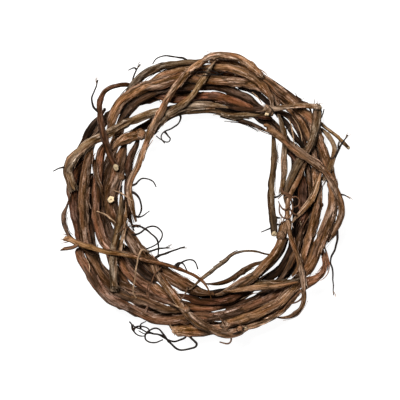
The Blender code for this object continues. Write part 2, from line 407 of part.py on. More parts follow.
# name, stem or tendril it grows from, first and last diameter in mm, and the
# route: mm in X and Y from the middle of the ring and mm above the root.
TENDRILS = (
    ("curl_w_a", "arch_cane", 2.2, 1.6, (
        (-75.3, 12, 0), (-69, 12, 2), (-61, 18.5, 4), (-51, 16, 6), (-47, 10, 6),
    )),
    ("curl_w_b", "arch_cane", 2.6, 2.2, (
        (-75.4, 4, 0), (-69, 4, 3), (-63, -3, 5), (-61.5, -13, 5), (-65, -21, 4),
    )),
    ("curl_w_c", "arch_cane", 1.8, 1.4, (
        (-71.5, -19.5, 0), (-64, -20, 2), (-58, -17.5, 4), (-53.5, -13.7, 5),
    )),
    ("curl_w_d", "rose_w", 2.4, 1.9, (
        (-70, -29, 0), (-63, -28.5, 3), (-57, -32.6, 6), (-49, -39, 8), (-45, -47, 8), (-46, -58, 6),
    )),
    ("curl_w_e", "thick_w", 2.2, 1.8, (
        (-73.8, -36.5, 0), (-65, -37.5, 6), (-58, -33, 10), (-51, -29, 11), (-45, -30.5, 11),
        (-40, -36, 11), (-42, -43, 10), (-48, -48, 9), (-57, -52, 8),
    )),
    ("twig_w_a", "thick_w", 2.8, 1.8, (
        (-59.6, -59.6, 0), (-54, -55, 3), (-45, -52, 5), (-33, -50, 6),
    )),
    ("twig_w_b", "thick_w", 3.0, 2.2, (
        (-53.6, -66.2, 0), (-45, -59.5, 2), (-36, -55.8, 4), (-28, -52.6, 5), (-18, -50, 6),
    )),
    ("curl_sw_a", "golden_twig", 2.2, 1.7, (
        (-26, -71.8, 0), (-24, -67, 2), (-18.5, -64, 3), (-13, -62.5, 3), (-8, -64.5, 3), (-5, -72, 3),
    )),
    ("curl_sw_b", "thick_w", 1.8, 1.4, (
        (-43, -75.5, 0), (-45, -72.5, 7), (-50, -77, 13), (-53, -87, 15), (-54.5, -99, 14),
    )),
    ("curl_s_a", "outer_s", 2.5, 2.0, (
        (-13, -134.2, 0), (-13, -139, 1), (-8.5, -143.5, 2), (-6, -148, 3), (-11, -151.5, 3),
        (-18, -152.8, 3), (-24.4, -153, 3), (-29.5, -149, 3), (-35, -144, 4), (-39, -138, 5),
        (-43, -133.6, 6), (-48, -131.6, 6), (-53, -133.6, 5), (-57, -137, 4), (-57.6, -141.8, 3),
        (-54, -144.8, 3), (-47, -145.3, 3), (-40, -142.3, 3),
    )),
    ("curl_s_b", "outer_s", 2.2, 1.8, (
        (-16.5, -134, 0), (-17.5, -139.5, -2), (-22, -142.5, -3), (-29, -144.5, -3), (-35.5, -143, -3),
        (-41, -139.6, -3), (-47, -137, -3), (-55, -135.7, -2), (-61, -132.6, 0), (-68.3, -129.5, 1),
        (-73.4, -124.4, 2),
    )),
    ("curl_s_c", "curl_s_b", 1.9, 1.6, (
        (-70.6, -127.4, 0), (-70.3, -133, 0), (-65, -138, 0), (-59.5, -139.2, 2), (-56.5, -136.5, 3),
    )),
    ("hook_s", "cross_s", 2.2, 1.7, (
        (24, -136, 0), (28.2, -140.5, 0), (27.6, -144.8, 0), (23.6, -146.6, 0), (16.4, -144.6, 1),
    )),
    ("curl_nw_a", "rim_top", 1.8, 1.5, (
        (-24.4, 85.2, 0), (-22.6, 80, 2), (-25, 74.3, 4), (-29.6, 69.8, 5), (-35.3, 67.4, 6),
        (-39.6, 64.8, 6), (-41.8, 61, 6), (-41, 57, 6), (-38.2, 53.7, 6),
    )),
    ("curl_nw_b", "curl_nw_a", 1.6, 1.4, (
        (-38.5, 65.6, 0), (-35, 61.4, -2), (-32.4, 57.6, -3), (-35.6, 54.6, -4), (-40.5, 56.6, -4),
        (-46.8, 61.4, -4),
    )),
    ("twig_nw_a", "hook_nw", 2.6, 1.6, (
        (-103.4, 83.7, 0), (-108, 88, 1), (-110.4, 94, 2), (-110, 101, 3), (-106.6, 109, 4),
        (-104.7, 116.4, 4),
    )),
    ("twig_nw_b", "ridge_cane", 2.2, 1.6, (
        (-70.2, 110.2, 0), (-70, 115.5, 1), (-68.2, 122, 2), (-65.4, 128.4, 3), (-63, 132.6, 3),
    )),
    ("barb_nw", "twig_nw_b", 1.6, 1.3, (
        (-66.2, 127, 0), (-69, 129, 1), (-74.6, 126.5, 2),
    )),
    ("curl_n", "ridge_cane", 2.2, 1.5, (
        (-13.5, 134.6, 0), (-20, 137.6, 1), (-28.6, 139.4, 2), (-38, 140.6, 3), (-45, 138.8, 4),
        (-50.6, 132.8, 4),
    )),
    ("hair_w", "knot_cane", 2.0, 1.4, ((-136.2, 31.4, 0), (-142, 29.2, 1), (-149.2, 25.5, 1))),
    ("twig_e_a", "hook_ne", 3.4, 1.8, (
        (127, 37.8, 0), (132.4, 41, 3), (135.8, 48.6, 5), (139.9, 55.2, 6), (144.4, 61.8, 6),
    )),
    ("twig_e_b", "sweep_ne", 1.9, 1.3, ((135, 3, 0), (140, 2.6, 0), (146.5, -1.4, 0))),
    ("twig_se", "sweep_ne", 2.6, 1.5, (
        (131.6, -29.5, 0), (134, -38, 0), (132.6, -49, -1), (128.8, -58.5, -1), (127, -65, -1),
        (129.4, -72.6, -1), (129.9, -87, -1), (130.5, -98, -1),
    )),
    ("spur_ne", "sweep_ne", 4.2, 3.2, ((67.9, 69.3, 0), (64.6, 70.6, 3), (61.6, 71.4, 4))),
    ("knob_ne", "light_ne", 5.0, 4.2, ((66.8, 83.6, 0), (64.6, 82.6, 3.6), (63, 82, 6.4))),
    ("stub_w_a", "thick_w", 5.6, 5.0, ((-87.4, -1.4, 0), (-90, -2, 5.5), (-92, -2.2, 9.4))),
    ("stub_w_b", "golden_twig", 3.8, 3.2, ((-124, -47, 0), (-131, -50.4, -1.5), (-140, -51.6, -2))),
    ("spur_sw", "long_s", 3.4, 2.4, ((-58.2, -114.6, 0), (-56.4, -111.4, 3.2), (-54.4, -108, 4.6))),
    ("curl_e", "slant_e", 1.8, 1.4, (
        (95, -19.6, 0), (90.5, -17, 4), (86, -11, 5), (87, -3, 5), (92, 0.5, 5), (96, -3, 6),
        (94.5, -8.6, 7), (89.6, -10.6, 7),
    )),
    ("curl_s_d", "curl_s_b", 1.8, 1.5, (
        (-55, -136.5, 0), (-47, -137, 1.5), (-41, -138, 2), (-37, -141.5, 2.5),
        (-34.5, -145.5, 2.5),
    )),
    ("curl_s_e", "curl_s_c", 1.8, 1.4, (
        (-69.5, -133, 0), (-67, -130, 1.5), (-61, -129.6, 2.5), (-55, -132, 3), (-54, -136, 3.4),
        (-60, -136.4, 3.4), (-64.5, -133.5, 3.4),
    )),
    ("curl_s_f", "curl_s_b", 1.6, 1.4, (
        (-61.5, -130.5, 0), (-62, -126.5, 1), (-56.5, -123.8, 1.5),
    )),
    ("curl_w_f", "twig_w_a", 2.2, 1.6, (
        (-54, -55, 0), (-59, -53, 4), (-62.5, -57.5, 9), (-65, -66, 10), (-67, -76, 6),
        (-68, -86, 3), (-69.4, -94, 1.5), (-66.5, -101, 1),
    )),
    ("curl_sw_c", "golden_twig", 2, 1.6, (
        (-28.5, -70, 0), (-25.5, -66, 1), (-21, -65.6, 1.5), (-17.4, -69.6, 1.5), (-15.5, -74, 1),
    )),
    ("curl_sw_d", "thick_w", 2.2, 1.7, (
        (-14, -87, 0), (-15.6, -92, 7), (-19, -98.5, 9), (-23.5, -104, 9.5),
    )),
    ("strand_ne", "hook_ne", 3.4, 2.6, (
        (115, 66.5, 0), (117.5, 60, -1), (120, 52, -1.5), (123, 44.5, -2),
    )),
    ("twig_e_c", "twig_e_a", 2, 1.5, (
        (135, 48, 0), (134.9, 52, 1.5), (135.8, 55.5, 2),
    )),
    ("fray_ne_a", "corner_ne", 1.9, 1.3, (
        (114.5, 79, 0), (118.4, 85, 1.5), (117.6, 93, 2.5),
    )),
    ("fray_ne_b", "corner_ne", 2.1, 1.4, (
        (113, 73, 0), (118.4, 80, 1), (120.8, 88, 1),
    )),
    ("curl_e_b", "inner_rod_short", 2.4, 1.9, (
        (80, 8, 0), (84, 4, 4), (88.8, -1, 8), (91.3, -8, 9), (89.4, -15.5, 9), (84, -20.5, 8),
        (78.8, -19.6, 5), (76.4, -14, 3), (76.8, -7, 2),
    )),
    ("spur_e_a", "inner_rod_long", 2.6, 1.8, (
        (68, -0.6, 0), (73, 0.2, 1), (77.5, 2.6, 0.5),
    )),
    ("spur_e_b", "inner_rod_long", 2.4, 1.8, (
        (69, -19, 0), (73, -21, 0), (77.4, -21.4, 0),
    )),
    ("spur_e_c", "inner_rod_long", 2.2, 1.7, (
        (70.2, -26.4, 0), (75, -27.8, 0), (79.4, -26.2, -1),
    )),
    ("strand_e", "inner_rod_long", 2.4, 2.2, (
        (69, 21, 0), (66.6, 14, 0), (65, 6, 0), (64.8, -3, 0), (65.4, -12, 0), (67, -20, 0),
        (69, -27, 0),
    )),
    ("hair_e", "inner_rod_long", 1.7, 1.4, (
        (69.6, -30, 0), (64, -32, 0), (58, -35, 0),
    )),
    ("loop_se_a", "swing_se", 2.6, 1.9, (
        (102.2, -90, 0), (96.5, -94.5, -2), (90.6, -100.5, -3), (85, -106.5, -4), (80, -112.5, -5),
    )),
    ("loop_se_b", "swing_se", 2.4, 1.8, (
        (102.6, -96, 0), (97.5, -102, -1), (91, -105.6, -2), (84, -106.6, -4),
    )),
)


def smooth_route(rows, per=12):
    """Points of a Catmull-Rom curve through the rows, whatever their width."""
    p = np.asarray(rows, float)
    p = np.vstack([2 * p[0] - p[1], p, 2 * p[-1] - p[-2]])
    t = (np.arange(per) / per)[:, None]
    out = []
    for i in range(1, len(p) - 2):
        a, b, c, d = p[i - 1], p[i], p[i + 1], p[i + 2]
        out.append(0.5 * (2 * b + t * (c - a) + t ** 2 * (2 * a - 5 * b + 4 * c - d)
                          + t ** 3 * (3 * b - a - 3 * c + d)))
    out.append(p[-2][None])
    return np.vstack(out)


def ring_places(x, y, step, tight):
    """Where along a flat curve its rings go: closer together in tight bends."""
    s = np.r_[0, np.cumsum(np.hypot(np.diff(x), np.diff(y)))]
    n = max(6, int(s[-1] / 1.5))
    u = np.linspace(0, s[-1], n)
    heading = np.unwrap(np.arctan2(np.diff(np.interp(u, s, y)), np.diff(np.interp(u, s, x))))
    bend = np.abs(np.gradient(heading)) / (u[1] - u[0])
    bend = np.convolve(np.pad(bend, 3, mode="edge"), np.ones(7) / 7, "valid")
    dense = 1 / np.clip(TURN_PER_RING / np.maximum(bend, 1e-4), tight, step)
    dense = np.r_[dense, dense[-1]]
    count = np.r_[0, np.cumsum((dense[1:] + dense[:-1]) / 2 * (u[1] - u[0]))]
    m = max(3, int(round(count[-1])) + 1)
    return s, np.interp(np.linspace(0, count[-1], m), count, u)


def stem_chain(row):
    """Target points, radii and level of one stem."""
    name, tone, first, last, level, route = row
    full = [(w[0], w[1], w[2] if len(w) > 2 else level) for w in route]
    dense = smooth_route(full)
    a = np.radians(dense[:, 0])
    x, y = dense[:, 1] * np.cos(a), dense[:, 1] * np.sin(a)
    s, at = ring_places(x, y, RING_STEP, RING_STEP_TIGHT)
    t = at / at[-1]
    radius = (first + (last - first) * t) / 2
    radius *= 1 + 0.045 * np.sin(at / 17.0 + first * 9) + 0.03 * np.sin(at / 7.3 + last * 5)
    z = np.interp(at, s, dense[:, 2]) * LEVEL_STEP + radius
    points = np.c_[np.interp(at, s, x), np.interp(at, s, y), z]
    return {"name": name, "tone": tone, "target": points, "radius": radius, "along": at,
            "parent": None, "node": name}


def tendril_chain(row, chains):
    """Target points and radii of one tendril; its root sits on its parent's middle line."""
    name, parent, first, last, route = row
    dense = smooth_route(route, 6)
    s, at = ring_places(dense[:, 0], dense[:, 1], 6.5, 3.6)
    t = at / at[-1]
    lift = np.interp(at, s, dense[:, 2])
    points = np.c_[np.interp(at, s, dense[:, 0]), np.interp(at, s, dense[:, 1]), lift]
    up = chains[parent]
    near = np.hypot(*(up["target"][:, :2] - points[0, :2]).T)
    i = int(np.clip(near.argmin(), 0, len(near) - 2))
    if 0 < i and near[i - 1] < near[i + 1]:
        i -= 1
    a, b = up["target"][i, :2], up["target"][i + 1, :2]
    u = float(np.clip(np.dot(points[0, :2] - a, b - a) / np.dot(b - a, b - a), 0, 1))
    points[:, 2] += up["target"][i, 2] * (1 - u) + up["target"][i + 1, 2] * u
    points[0, :2] = a * (1 - u) + b * u
    return {"name": name, "tone": up["tone"], "target": points, "along": at,
            "radius": (first + (last - first) * t) / 2, "parent": (parent, i, u), "node": up["node"]}


def all_chains():
    """Every stem and tendril by name, in table order."""
    chains = {}
    for row in STEMS:
        chains[row[0]] = stem_chain(row)
    for row in TENDRILS:
        chains[row[0]] = tendril_chain(row, chains)
    return chains


def closest(p, q, a, b):
    """Nearest places s and t, from 0 to 1, on the segments p-q and a-b."""
    d1, d2, r = q - p, b - a, p - a
    aa, ee = (d1 * d1).sum(1) + 1e-12, (d2 * d2).sum(1) + 1e-12
    bb, cc, ff = (d1 * d2).sum(1), (d1 * r).sum(1), (d2 * r).sum(1)
    den = aa * ee - bb * bb
    s = np.where(den > 1e-9, np.clip((bb * ff - cc * ee) / np.maximum(den, 1e-9), 0, 1), 0.5)
    t = (bb * s + ff) / ee
    s = np.where(t < 0, np.clip(-cc / aa, 0, 1), np.where(t > 1, np.clip((bb - cc) / aa, 0, 1), s))
    return s, np.clip(t, 0, 1)


def underside(x, y):
    """Height below which no stem goes: three low places round the ring."""
    a = np.arctan2(y, x) - math.radians(WAVE_PHASE)
    return WAVE_HEIGHT * (0.5 - 0.5 * np.cos(3 * a)) ** 1.5


class Weave:
    """All chains in flat arrays, and the rounds that settle them."""

    def __init__(self, chains):
        self.chains = list(chains.values())
        index = {c["name"]: k for k, c in enumerate(self.chains)}
        counts = [len(c["target"]) for c in self.chains]
        self.start = np.r_[0, np.cumsum(counts)]
        self.target = np.vstack([c["target"] for c in self.chains])
        self.radius = np.concatenate([c["radius"] for c in self.chains])
        self.owner = np.repeat(np.arange(len(self.chains)), counts)
        nodes = {c["node"]: k for k, c in enumerate(self.chains) if c["parent"] is None}
        self.node = np.array([nodes[c["node"]] for c in self.chains])[self.owner]
        self.a = np.array([i for i in range(len(self.target) - 1) if self.owner[i] == self.owner[i + 1]])
        self.roots = [(self.start[k], self.start[index[c["parent"][0]]] + c["parent"][1], c["parent"][2])
                      for k, c in enumerate(self.chains) if c["parent"]]
        along = np.concatenate([c["along"] for c in self.chains])
        self.window = self.owner * 100 + (along / WINDOW).astype(int)
        self.p = self.target.copy()
        self.inner = np.zeros(len(self.p), bool)
        self.inner[1:-1] = (self.owner[2:] == self.owner[1:-1]) & (self.owner[:-2] == self.owner[1:-1])
        self.thin = np.array([c["parent"] is not None for c in self.chains])[self.owner]
        self.feet = self.find_feet(index[FOOT_STEM])
        self.first = np.zeros(len(self.p), bool)
        self.first[self.start[:-1]] = True
        self.last = np.zeros(len(self.p), bool)
        self.last[self.start[1:] - 1] = True

    def find_feet(self, k):
        """The two points of the lowest hoop nearest to each of its three low places."""
        x, y = self.target[self.start[k]:self.start[k + 1], :2].T
        feet = []
        for turn in range(3):
            off = np.degrees(np.arctan2(y, x)) - WAVE_PHASE - 120 * turn
            off = np.abs((off + 180) % 360 - 180)
            feet += list(self.start[k] + np.argsort(off, kind="stable")[:2])
        return np.array(feet)

    def find_pairs(self, reach):
        """Pairs of segments of different nodes that lie within reach."""
        a = self.a
        mid = (self.p[a] + self.p[a + 1]) / 2
        half = np.linalg.norm(self.p[a + 1] - self.p[a], axis=1) / 2 + self.radius[a]
        i, j = np.triu_indices(len(a), 1)
        keep = self.node[a[i]] != self.node[a[j]]
        i, j = i[keep], j[keep]
        far = ((mid[i] - mid[j]) ** 2).sum(1)
        keep = far < (half[i] + half[j] + reach) ** 2
        self.i, self.j = a[i[keep]], a[j[keep]]

    def gaps(self):
        """Air between the paired segments, where it is and which way it points."""
        i, j, p = self.i, self.j, self.p
        s, t = closest(p[i], p[i + 1], p[j], p[j + 1])
        ci = p[i] + (p[i + 1] - p[i]) * s[:, None]
        cj = p[j] + (p[j + 1] - p[j]) * t[:, None]
        away = ci - cj
        flat = np.linalg.norm(away, axis=1) < 1e-3
        away[flat] = (0, 0, 1e-3)
        dist = np.linalg.norm(away, axis=1)
        reach = (self.radius[i] * (1 - s) + self.radius[i + 1] * s
                 + self.radius[j] * (1 - t) + self.radius[j + 1] * t)
        return s, t, away / dist[:, None], dist - reach

    def shift(self, s, t, way, amount, share):
        """Moves the ends of the chosen segments; amount is the change of the gap."""
        move = np.zeros_like(self.p)
        count = np.zeros(len(self.p))
        for at, u, sign, part in ((self.i, s, 1, share), (self.j, t, -1, 1 - share)):
            w0, w1 = 1 - u, u
            norm = w0 * w0 + w1 * w1
            step = way * (sign * amount * part)[:, None] * SIDEWAYS
            np.add.at(move, at, step * (w0 / norm)[:, None])
            np.add.at(move, at + 1, step * (w1 / norm)[:, None])
            np.add.at(count, at, (amount != 0) * w0)
            np.add.at(count, at + 1, (amount != 0) * w1)
        return move / np.maximum(1.0, 0.75 * count)[:, None]

    def soften(self, passes, rate):
        """Spreads every displacement along its stem, as a stiff stem would."""
        e = self.p - self.target
        for _ in range(passes):
            lap = np.zeros_like(e)
            lap[1:-1] = (e[2:] + e[:-2]) / 2 - e[1:-1]
            e = e + rate * lap * self.inner[:, None]
        self.p = self.target + e

    def hold(self):
        """Keeps every point off the ground and every root on its parent."""
        low = self.radius * math.cos(math.pi / 8) - FLAT_DEPTH + underside(self.p[:, 0], self.p[:, 1])
        self.p[:, 2] = np.maximum(self.p[:, 2], low)
        self.p[self.feet, 2] = self.radius[self.feet] * math.cos(math.pi / 8) - FLAT_DEPTH
        for at, up, u in self.roots:
            self.p[at] = self.p[up] * (1 - u) + self.p[up + 1] * u
        self.p = np.round(self.p, 6)

    def settle(self):
        """Draws the stems together and pushes overlaps apart."""
        pull = np.array([0.09, 0.09, 0.016])
        total = ROUNDS + LAST_ROUNDS
        for k in range(total):
            if k % 12 == 0:
                self.find_pairs(9.0)
            s, t, way, gap = self.gaps()
            push = np.where(gap < GAP, GAP - gap, 0.0)
            thin_i, thin_j = self.thin[self.i], self.thin[self.j]
            share = np.where(thin_i & ~thin_j, 0.95, np.where(thin_j & ~thin_i, 0.05, 0.5))
            self.p = self.p + self.shift(s, t, way, push * (0.8 if k < ROUNDS else 0.95), share)
            if 40 < k < ROUNDS:
                self.p = self.p + 0.12 * self.lean(s, t, way, gap)
            if k < ROUNDS:
                self.soften(2, 0.5 * (1 - 0.5 * k / ROUNDS))
                self.p = self.p + (self.target - self.p) * pull * (1 - k / ROUNDS)
            elif k < total - 45:
                self.soften(1, 0.12)
            self.hold()

    def lean(self, s, t, way, gap):
        """A pull, window by window, towards the nearest neighbour; cut ends don't count."""
        tip = ((s <= 0) & self.first[self.i]) | ((s >= 1) & self.last[self.i + 1])
        tip |= ((t <= 0) & self.first[self.j]) | ((t >= 1) & self.last[self.j + 1])
        gap = np.where(tip, 1e6, gap)
        best = np.full(self.window.max() + 1, 1e9)
        wi, wj = self.window[self.i], self.window[self.j]
        np.minimum.at(best, wi, gap)
        np.minimum.at(best, wj, gap)
        for_i = (gap <= best[wi]) & (gap > GAP) & (gap < 8)
        for_j = (gap <= best[wj]) & (gap > GAP) & (gap < 8)
        amount = np.where(for_i | for_j, -(gap - GAP), 0.0)
        return self.shift(s, t, way, amount, 0.5)

    def paths(self):
        """The settled points of every chain by name."""
        return {c["name"]: self.p[self.start[k]:self.start[k + 1]] for k, c in enumerate(self.chains)}


def sides_for(chain):
    """Fewer sides on thin pieces."""
    if chain["parent"]:
        return 4
    return 8 if chain["radius"].max() > 4.3 else (7 if chain["radius"].max() > 2.9 else 6)


def tube_mesh(name, points, radius, sides):
    """Closed tube of flat-sided rings; a side faces straight down all along."""
    tangent = np.gradient(points, axis=0)
    tangent /= np.linalg.norm(tangent, axis=1)[:, None]
    side = np.cross((0, 0, 1.0), tangent)
    side /= np.linalg.norm(side, axis=1)[:, None]
    up = np.cross(tangent, side)
    turn = 2 * np.pi * (np.arange(sides) + 0.5) / sides - np.pi / 2
    bm = bmesh.new()
    rings = []
    for p, r, a, b in zip(points, radius, side, up):
        ring = []
        for w in turn:
            x, y, z = p + r * (math.cos(w) * a + math.sin(w) * b)
            ring.append(bm.verts.new((x * MM, y * MM, max(z, 0.0) * MM)))
        rings.append(ring)
    for low, high in zip(rings, rings[1:]):
        for k in range(sides):
            n = (k + 1) % sides
            bm.faces.new((low[k], low[n], high[n], high[k]))
    bm.faces.new(rings[0][::-1])
    bm.faces.new(rings[-1])
    bmesh.ops.recalc_face_normals(bm, faces=bm.faces)
    bmesh.ops.triangulate(bm, faces=[f for f in bm.faces if len(f.verts) > 4])
    mesh = bpy.data.meshes.new(name)
    bm.to_mesh(mesh)
    bm.free()
    return mesh


def bark(name, tone, k):
    """Plain bark material; stems of one tone differ a little."""
    colour, rough = TONES[tone]
    shade = 0.9 + 0.2 * ((k * 7) % 11) / 10
    mat = bpy.data.materials.new("bark_" + name)
    mat.use_nodes = True
    node = mat.node_tree.nodes["Principled BSDF"]
    node.inputs["Base Color"].default_value = tuple(c * shade for c in colour) + (1.0,)
    node.inputs["Roughness"].default_value = rough
    node.inputs["Metallic"].default_value = 0.0
    mat.diffuse_color = tuple(c * shade for c in colour) + (1.0,)
    return mat


def join_tendrils(stem, extra):
    """One union of a stem with the tendrils that grow from it."""
    group = bpy.data.collections.new(stem.name + "_tendrils")
    for ob in extra:
        group.objects.link(ob)
    mod = stem.modifiers.new("tendrils", "BOOLEAN")
    mod.operation = "UNION"
    mod.operand_type = "COLLECTION"
    mod.collection = group
    mod.solver = "MANIFOLD"
    depsgraph = bpy.context.evaluated_depsgraph_get()
    mesh = bpy.data.meshes.new_from_object(stem.evaluated_get(depsgraph))
    stem.modifiers.clear()
    stem.data = mesh
    for ob in extra:
        bpy.data.objects.remove(ob, do_unlink=True)
    bpy.data.collections.remove(group)


def shade(ob):
    """Smooth shading with sharp cut ends."""
    for poly in ob.data.polygons:
        poly.use_smooth = True
    ob.data.set_sharp_from_angle(angle=math.radians(62))


def build():
    """The whole wreath, moved so that its box stands centred on the origin."""
    for ob in list(bpy.data.objects):
        bpy.data.objects.remove(ob, do_unlink=True)
    home = bpy.data.collections.new(NAME)
    bpy.context.scene.collection.children.link(home)
    chains = all_chains()
    weave = Weave(chains)
    weave.settle()
    paths = weave.paths()
    made = {}
    extra = {}
    for name, chain in chains.items():
        mesh = tube_mesh(name, paths[name], chain["radius"], sides_for(chain))
        ob = bpy.data.objects.new(name, mesh)
        home.objects.link(ob)
        if chain["parent"]:
            extra.setdefault(chain["node"], []).append(ob)
        else:
            made[name] = ob
    bpy.context.view_layer.update()
    for name, obs in extra.items():
        join_tendrils(made[name], obs)
    corners = np.array([v.co[:] for ob in made.values() for v in ob.data.vertices])
    low, high = corners.min(0), corners.max(0)
    middle = (low + high) / 2
    for k, (name, ob) in enumerate(made.items()):
        ob.data.materials.clear()
        ob.data.materials.append(bark(name, chains[name]["tone"], k))
        ob.location = (-middle[0], -middle[1], 0.0)
        shade(ob)


build()
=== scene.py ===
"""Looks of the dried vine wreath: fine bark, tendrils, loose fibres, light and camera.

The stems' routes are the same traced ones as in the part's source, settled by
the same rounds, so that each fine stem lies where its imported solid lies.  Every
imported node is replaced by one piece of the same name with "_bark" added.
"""

import functools
import json
import math
import zlib

import bpy
import numpy as np
from bpy.props import FloatProperty, FloatVectorProperty, PointerProperty
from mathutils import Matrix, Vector
from mathutils.kdtree import KDTree

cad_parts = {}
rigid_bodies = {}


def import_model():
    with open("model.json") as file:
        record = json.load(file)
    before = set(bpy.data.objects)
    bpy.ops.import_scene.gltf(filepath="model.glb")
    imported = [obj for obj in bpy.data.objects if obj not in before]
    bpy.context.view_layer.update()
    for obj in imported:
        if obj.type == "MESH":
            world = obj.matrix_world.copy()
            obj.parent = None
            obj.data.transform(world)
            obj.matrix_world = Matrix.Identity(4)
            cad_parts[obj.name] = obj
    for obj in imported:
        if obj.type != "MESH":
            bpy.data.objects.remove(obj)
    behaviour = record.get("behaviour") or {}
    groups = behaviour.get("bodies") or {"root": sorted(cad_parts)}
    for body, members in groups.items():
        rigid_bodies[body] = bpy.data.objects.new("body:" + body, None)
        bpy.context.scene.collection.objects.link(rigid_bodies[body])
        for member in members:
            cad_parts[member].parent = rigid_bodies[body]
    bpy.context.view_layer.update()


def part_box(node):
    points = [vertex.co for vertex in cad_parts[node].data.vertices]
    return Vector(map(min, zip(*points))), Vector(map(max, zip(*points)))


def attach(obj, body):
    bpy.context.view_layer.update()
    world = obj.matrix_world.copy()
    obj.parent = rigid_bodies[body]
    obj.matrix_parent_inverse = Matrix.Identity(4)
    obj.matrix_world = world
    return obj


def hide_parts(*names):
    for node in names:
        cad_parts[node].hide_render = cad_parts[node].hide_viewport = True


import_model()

bl_info = {
    "name": "Dried vine wreath",
    "version": (1, 0, 0),
    "blender": (4, 5, 0),
    "location": "3D Viewport > Sidebar > Wreath",
    "description": "Dresses the woven stems with bark, tendrils and fibres, and lights them",
    "category": "Object",
}

MM = 0.001

# The weave, as in the part's source.
LEVEL_STEP = 3.7        # mm of height from one route level to the next
GAP = 0.34              # mm of air kept between two stems
RING_STEP = 9.5         # mm between two rings of a straight tube
RING_STEP_TIGHT = 5.0   # mm between two rings in a tight bend
TURN_PER_RING = 0.36    # radians a tube may turn from ring to ring
WAVE_HEIGHT = 2.2       # mm the underside rises between its three low places
WAVE_PHASE = 38.0       # degrees, where the first low place is
FOOT_STEM = "hoop_outer"  # the stem that rests on the ground
FLAT_DEPTH = 0.35       # mm taken off a low tube, so that it has a flat to rest on
ROUNDS = 260            # rounds of the relaxation
LAST_ROUNDS = 90        # rounds that only push overlapping stems apart
SIDEWAYS = np.array([0.6, 0.6, 1.0])  # share of a push that is taken in X, Y and Z
PULL = np.array([0.09, 0.09, 0.016])  # share of the way back to its route that a stem goes
PAIR_REACH, PAIR_EVERY = 9.0, 12      # mm within which stems are paired, and rounds between two searches
WINDOW = 42.0           # mm of stem that looks for one neighbour to lean on
LEAN_FROM, LEAN_SHARE, LEAN_REACH = 40, 0.12, 8.0   # first round, share of the gap and mm of leaning
TENDRIL_STEP, TENDRIL_STEP_TIGHT = 6.5, 3.6         # mm between two rings of a tendril

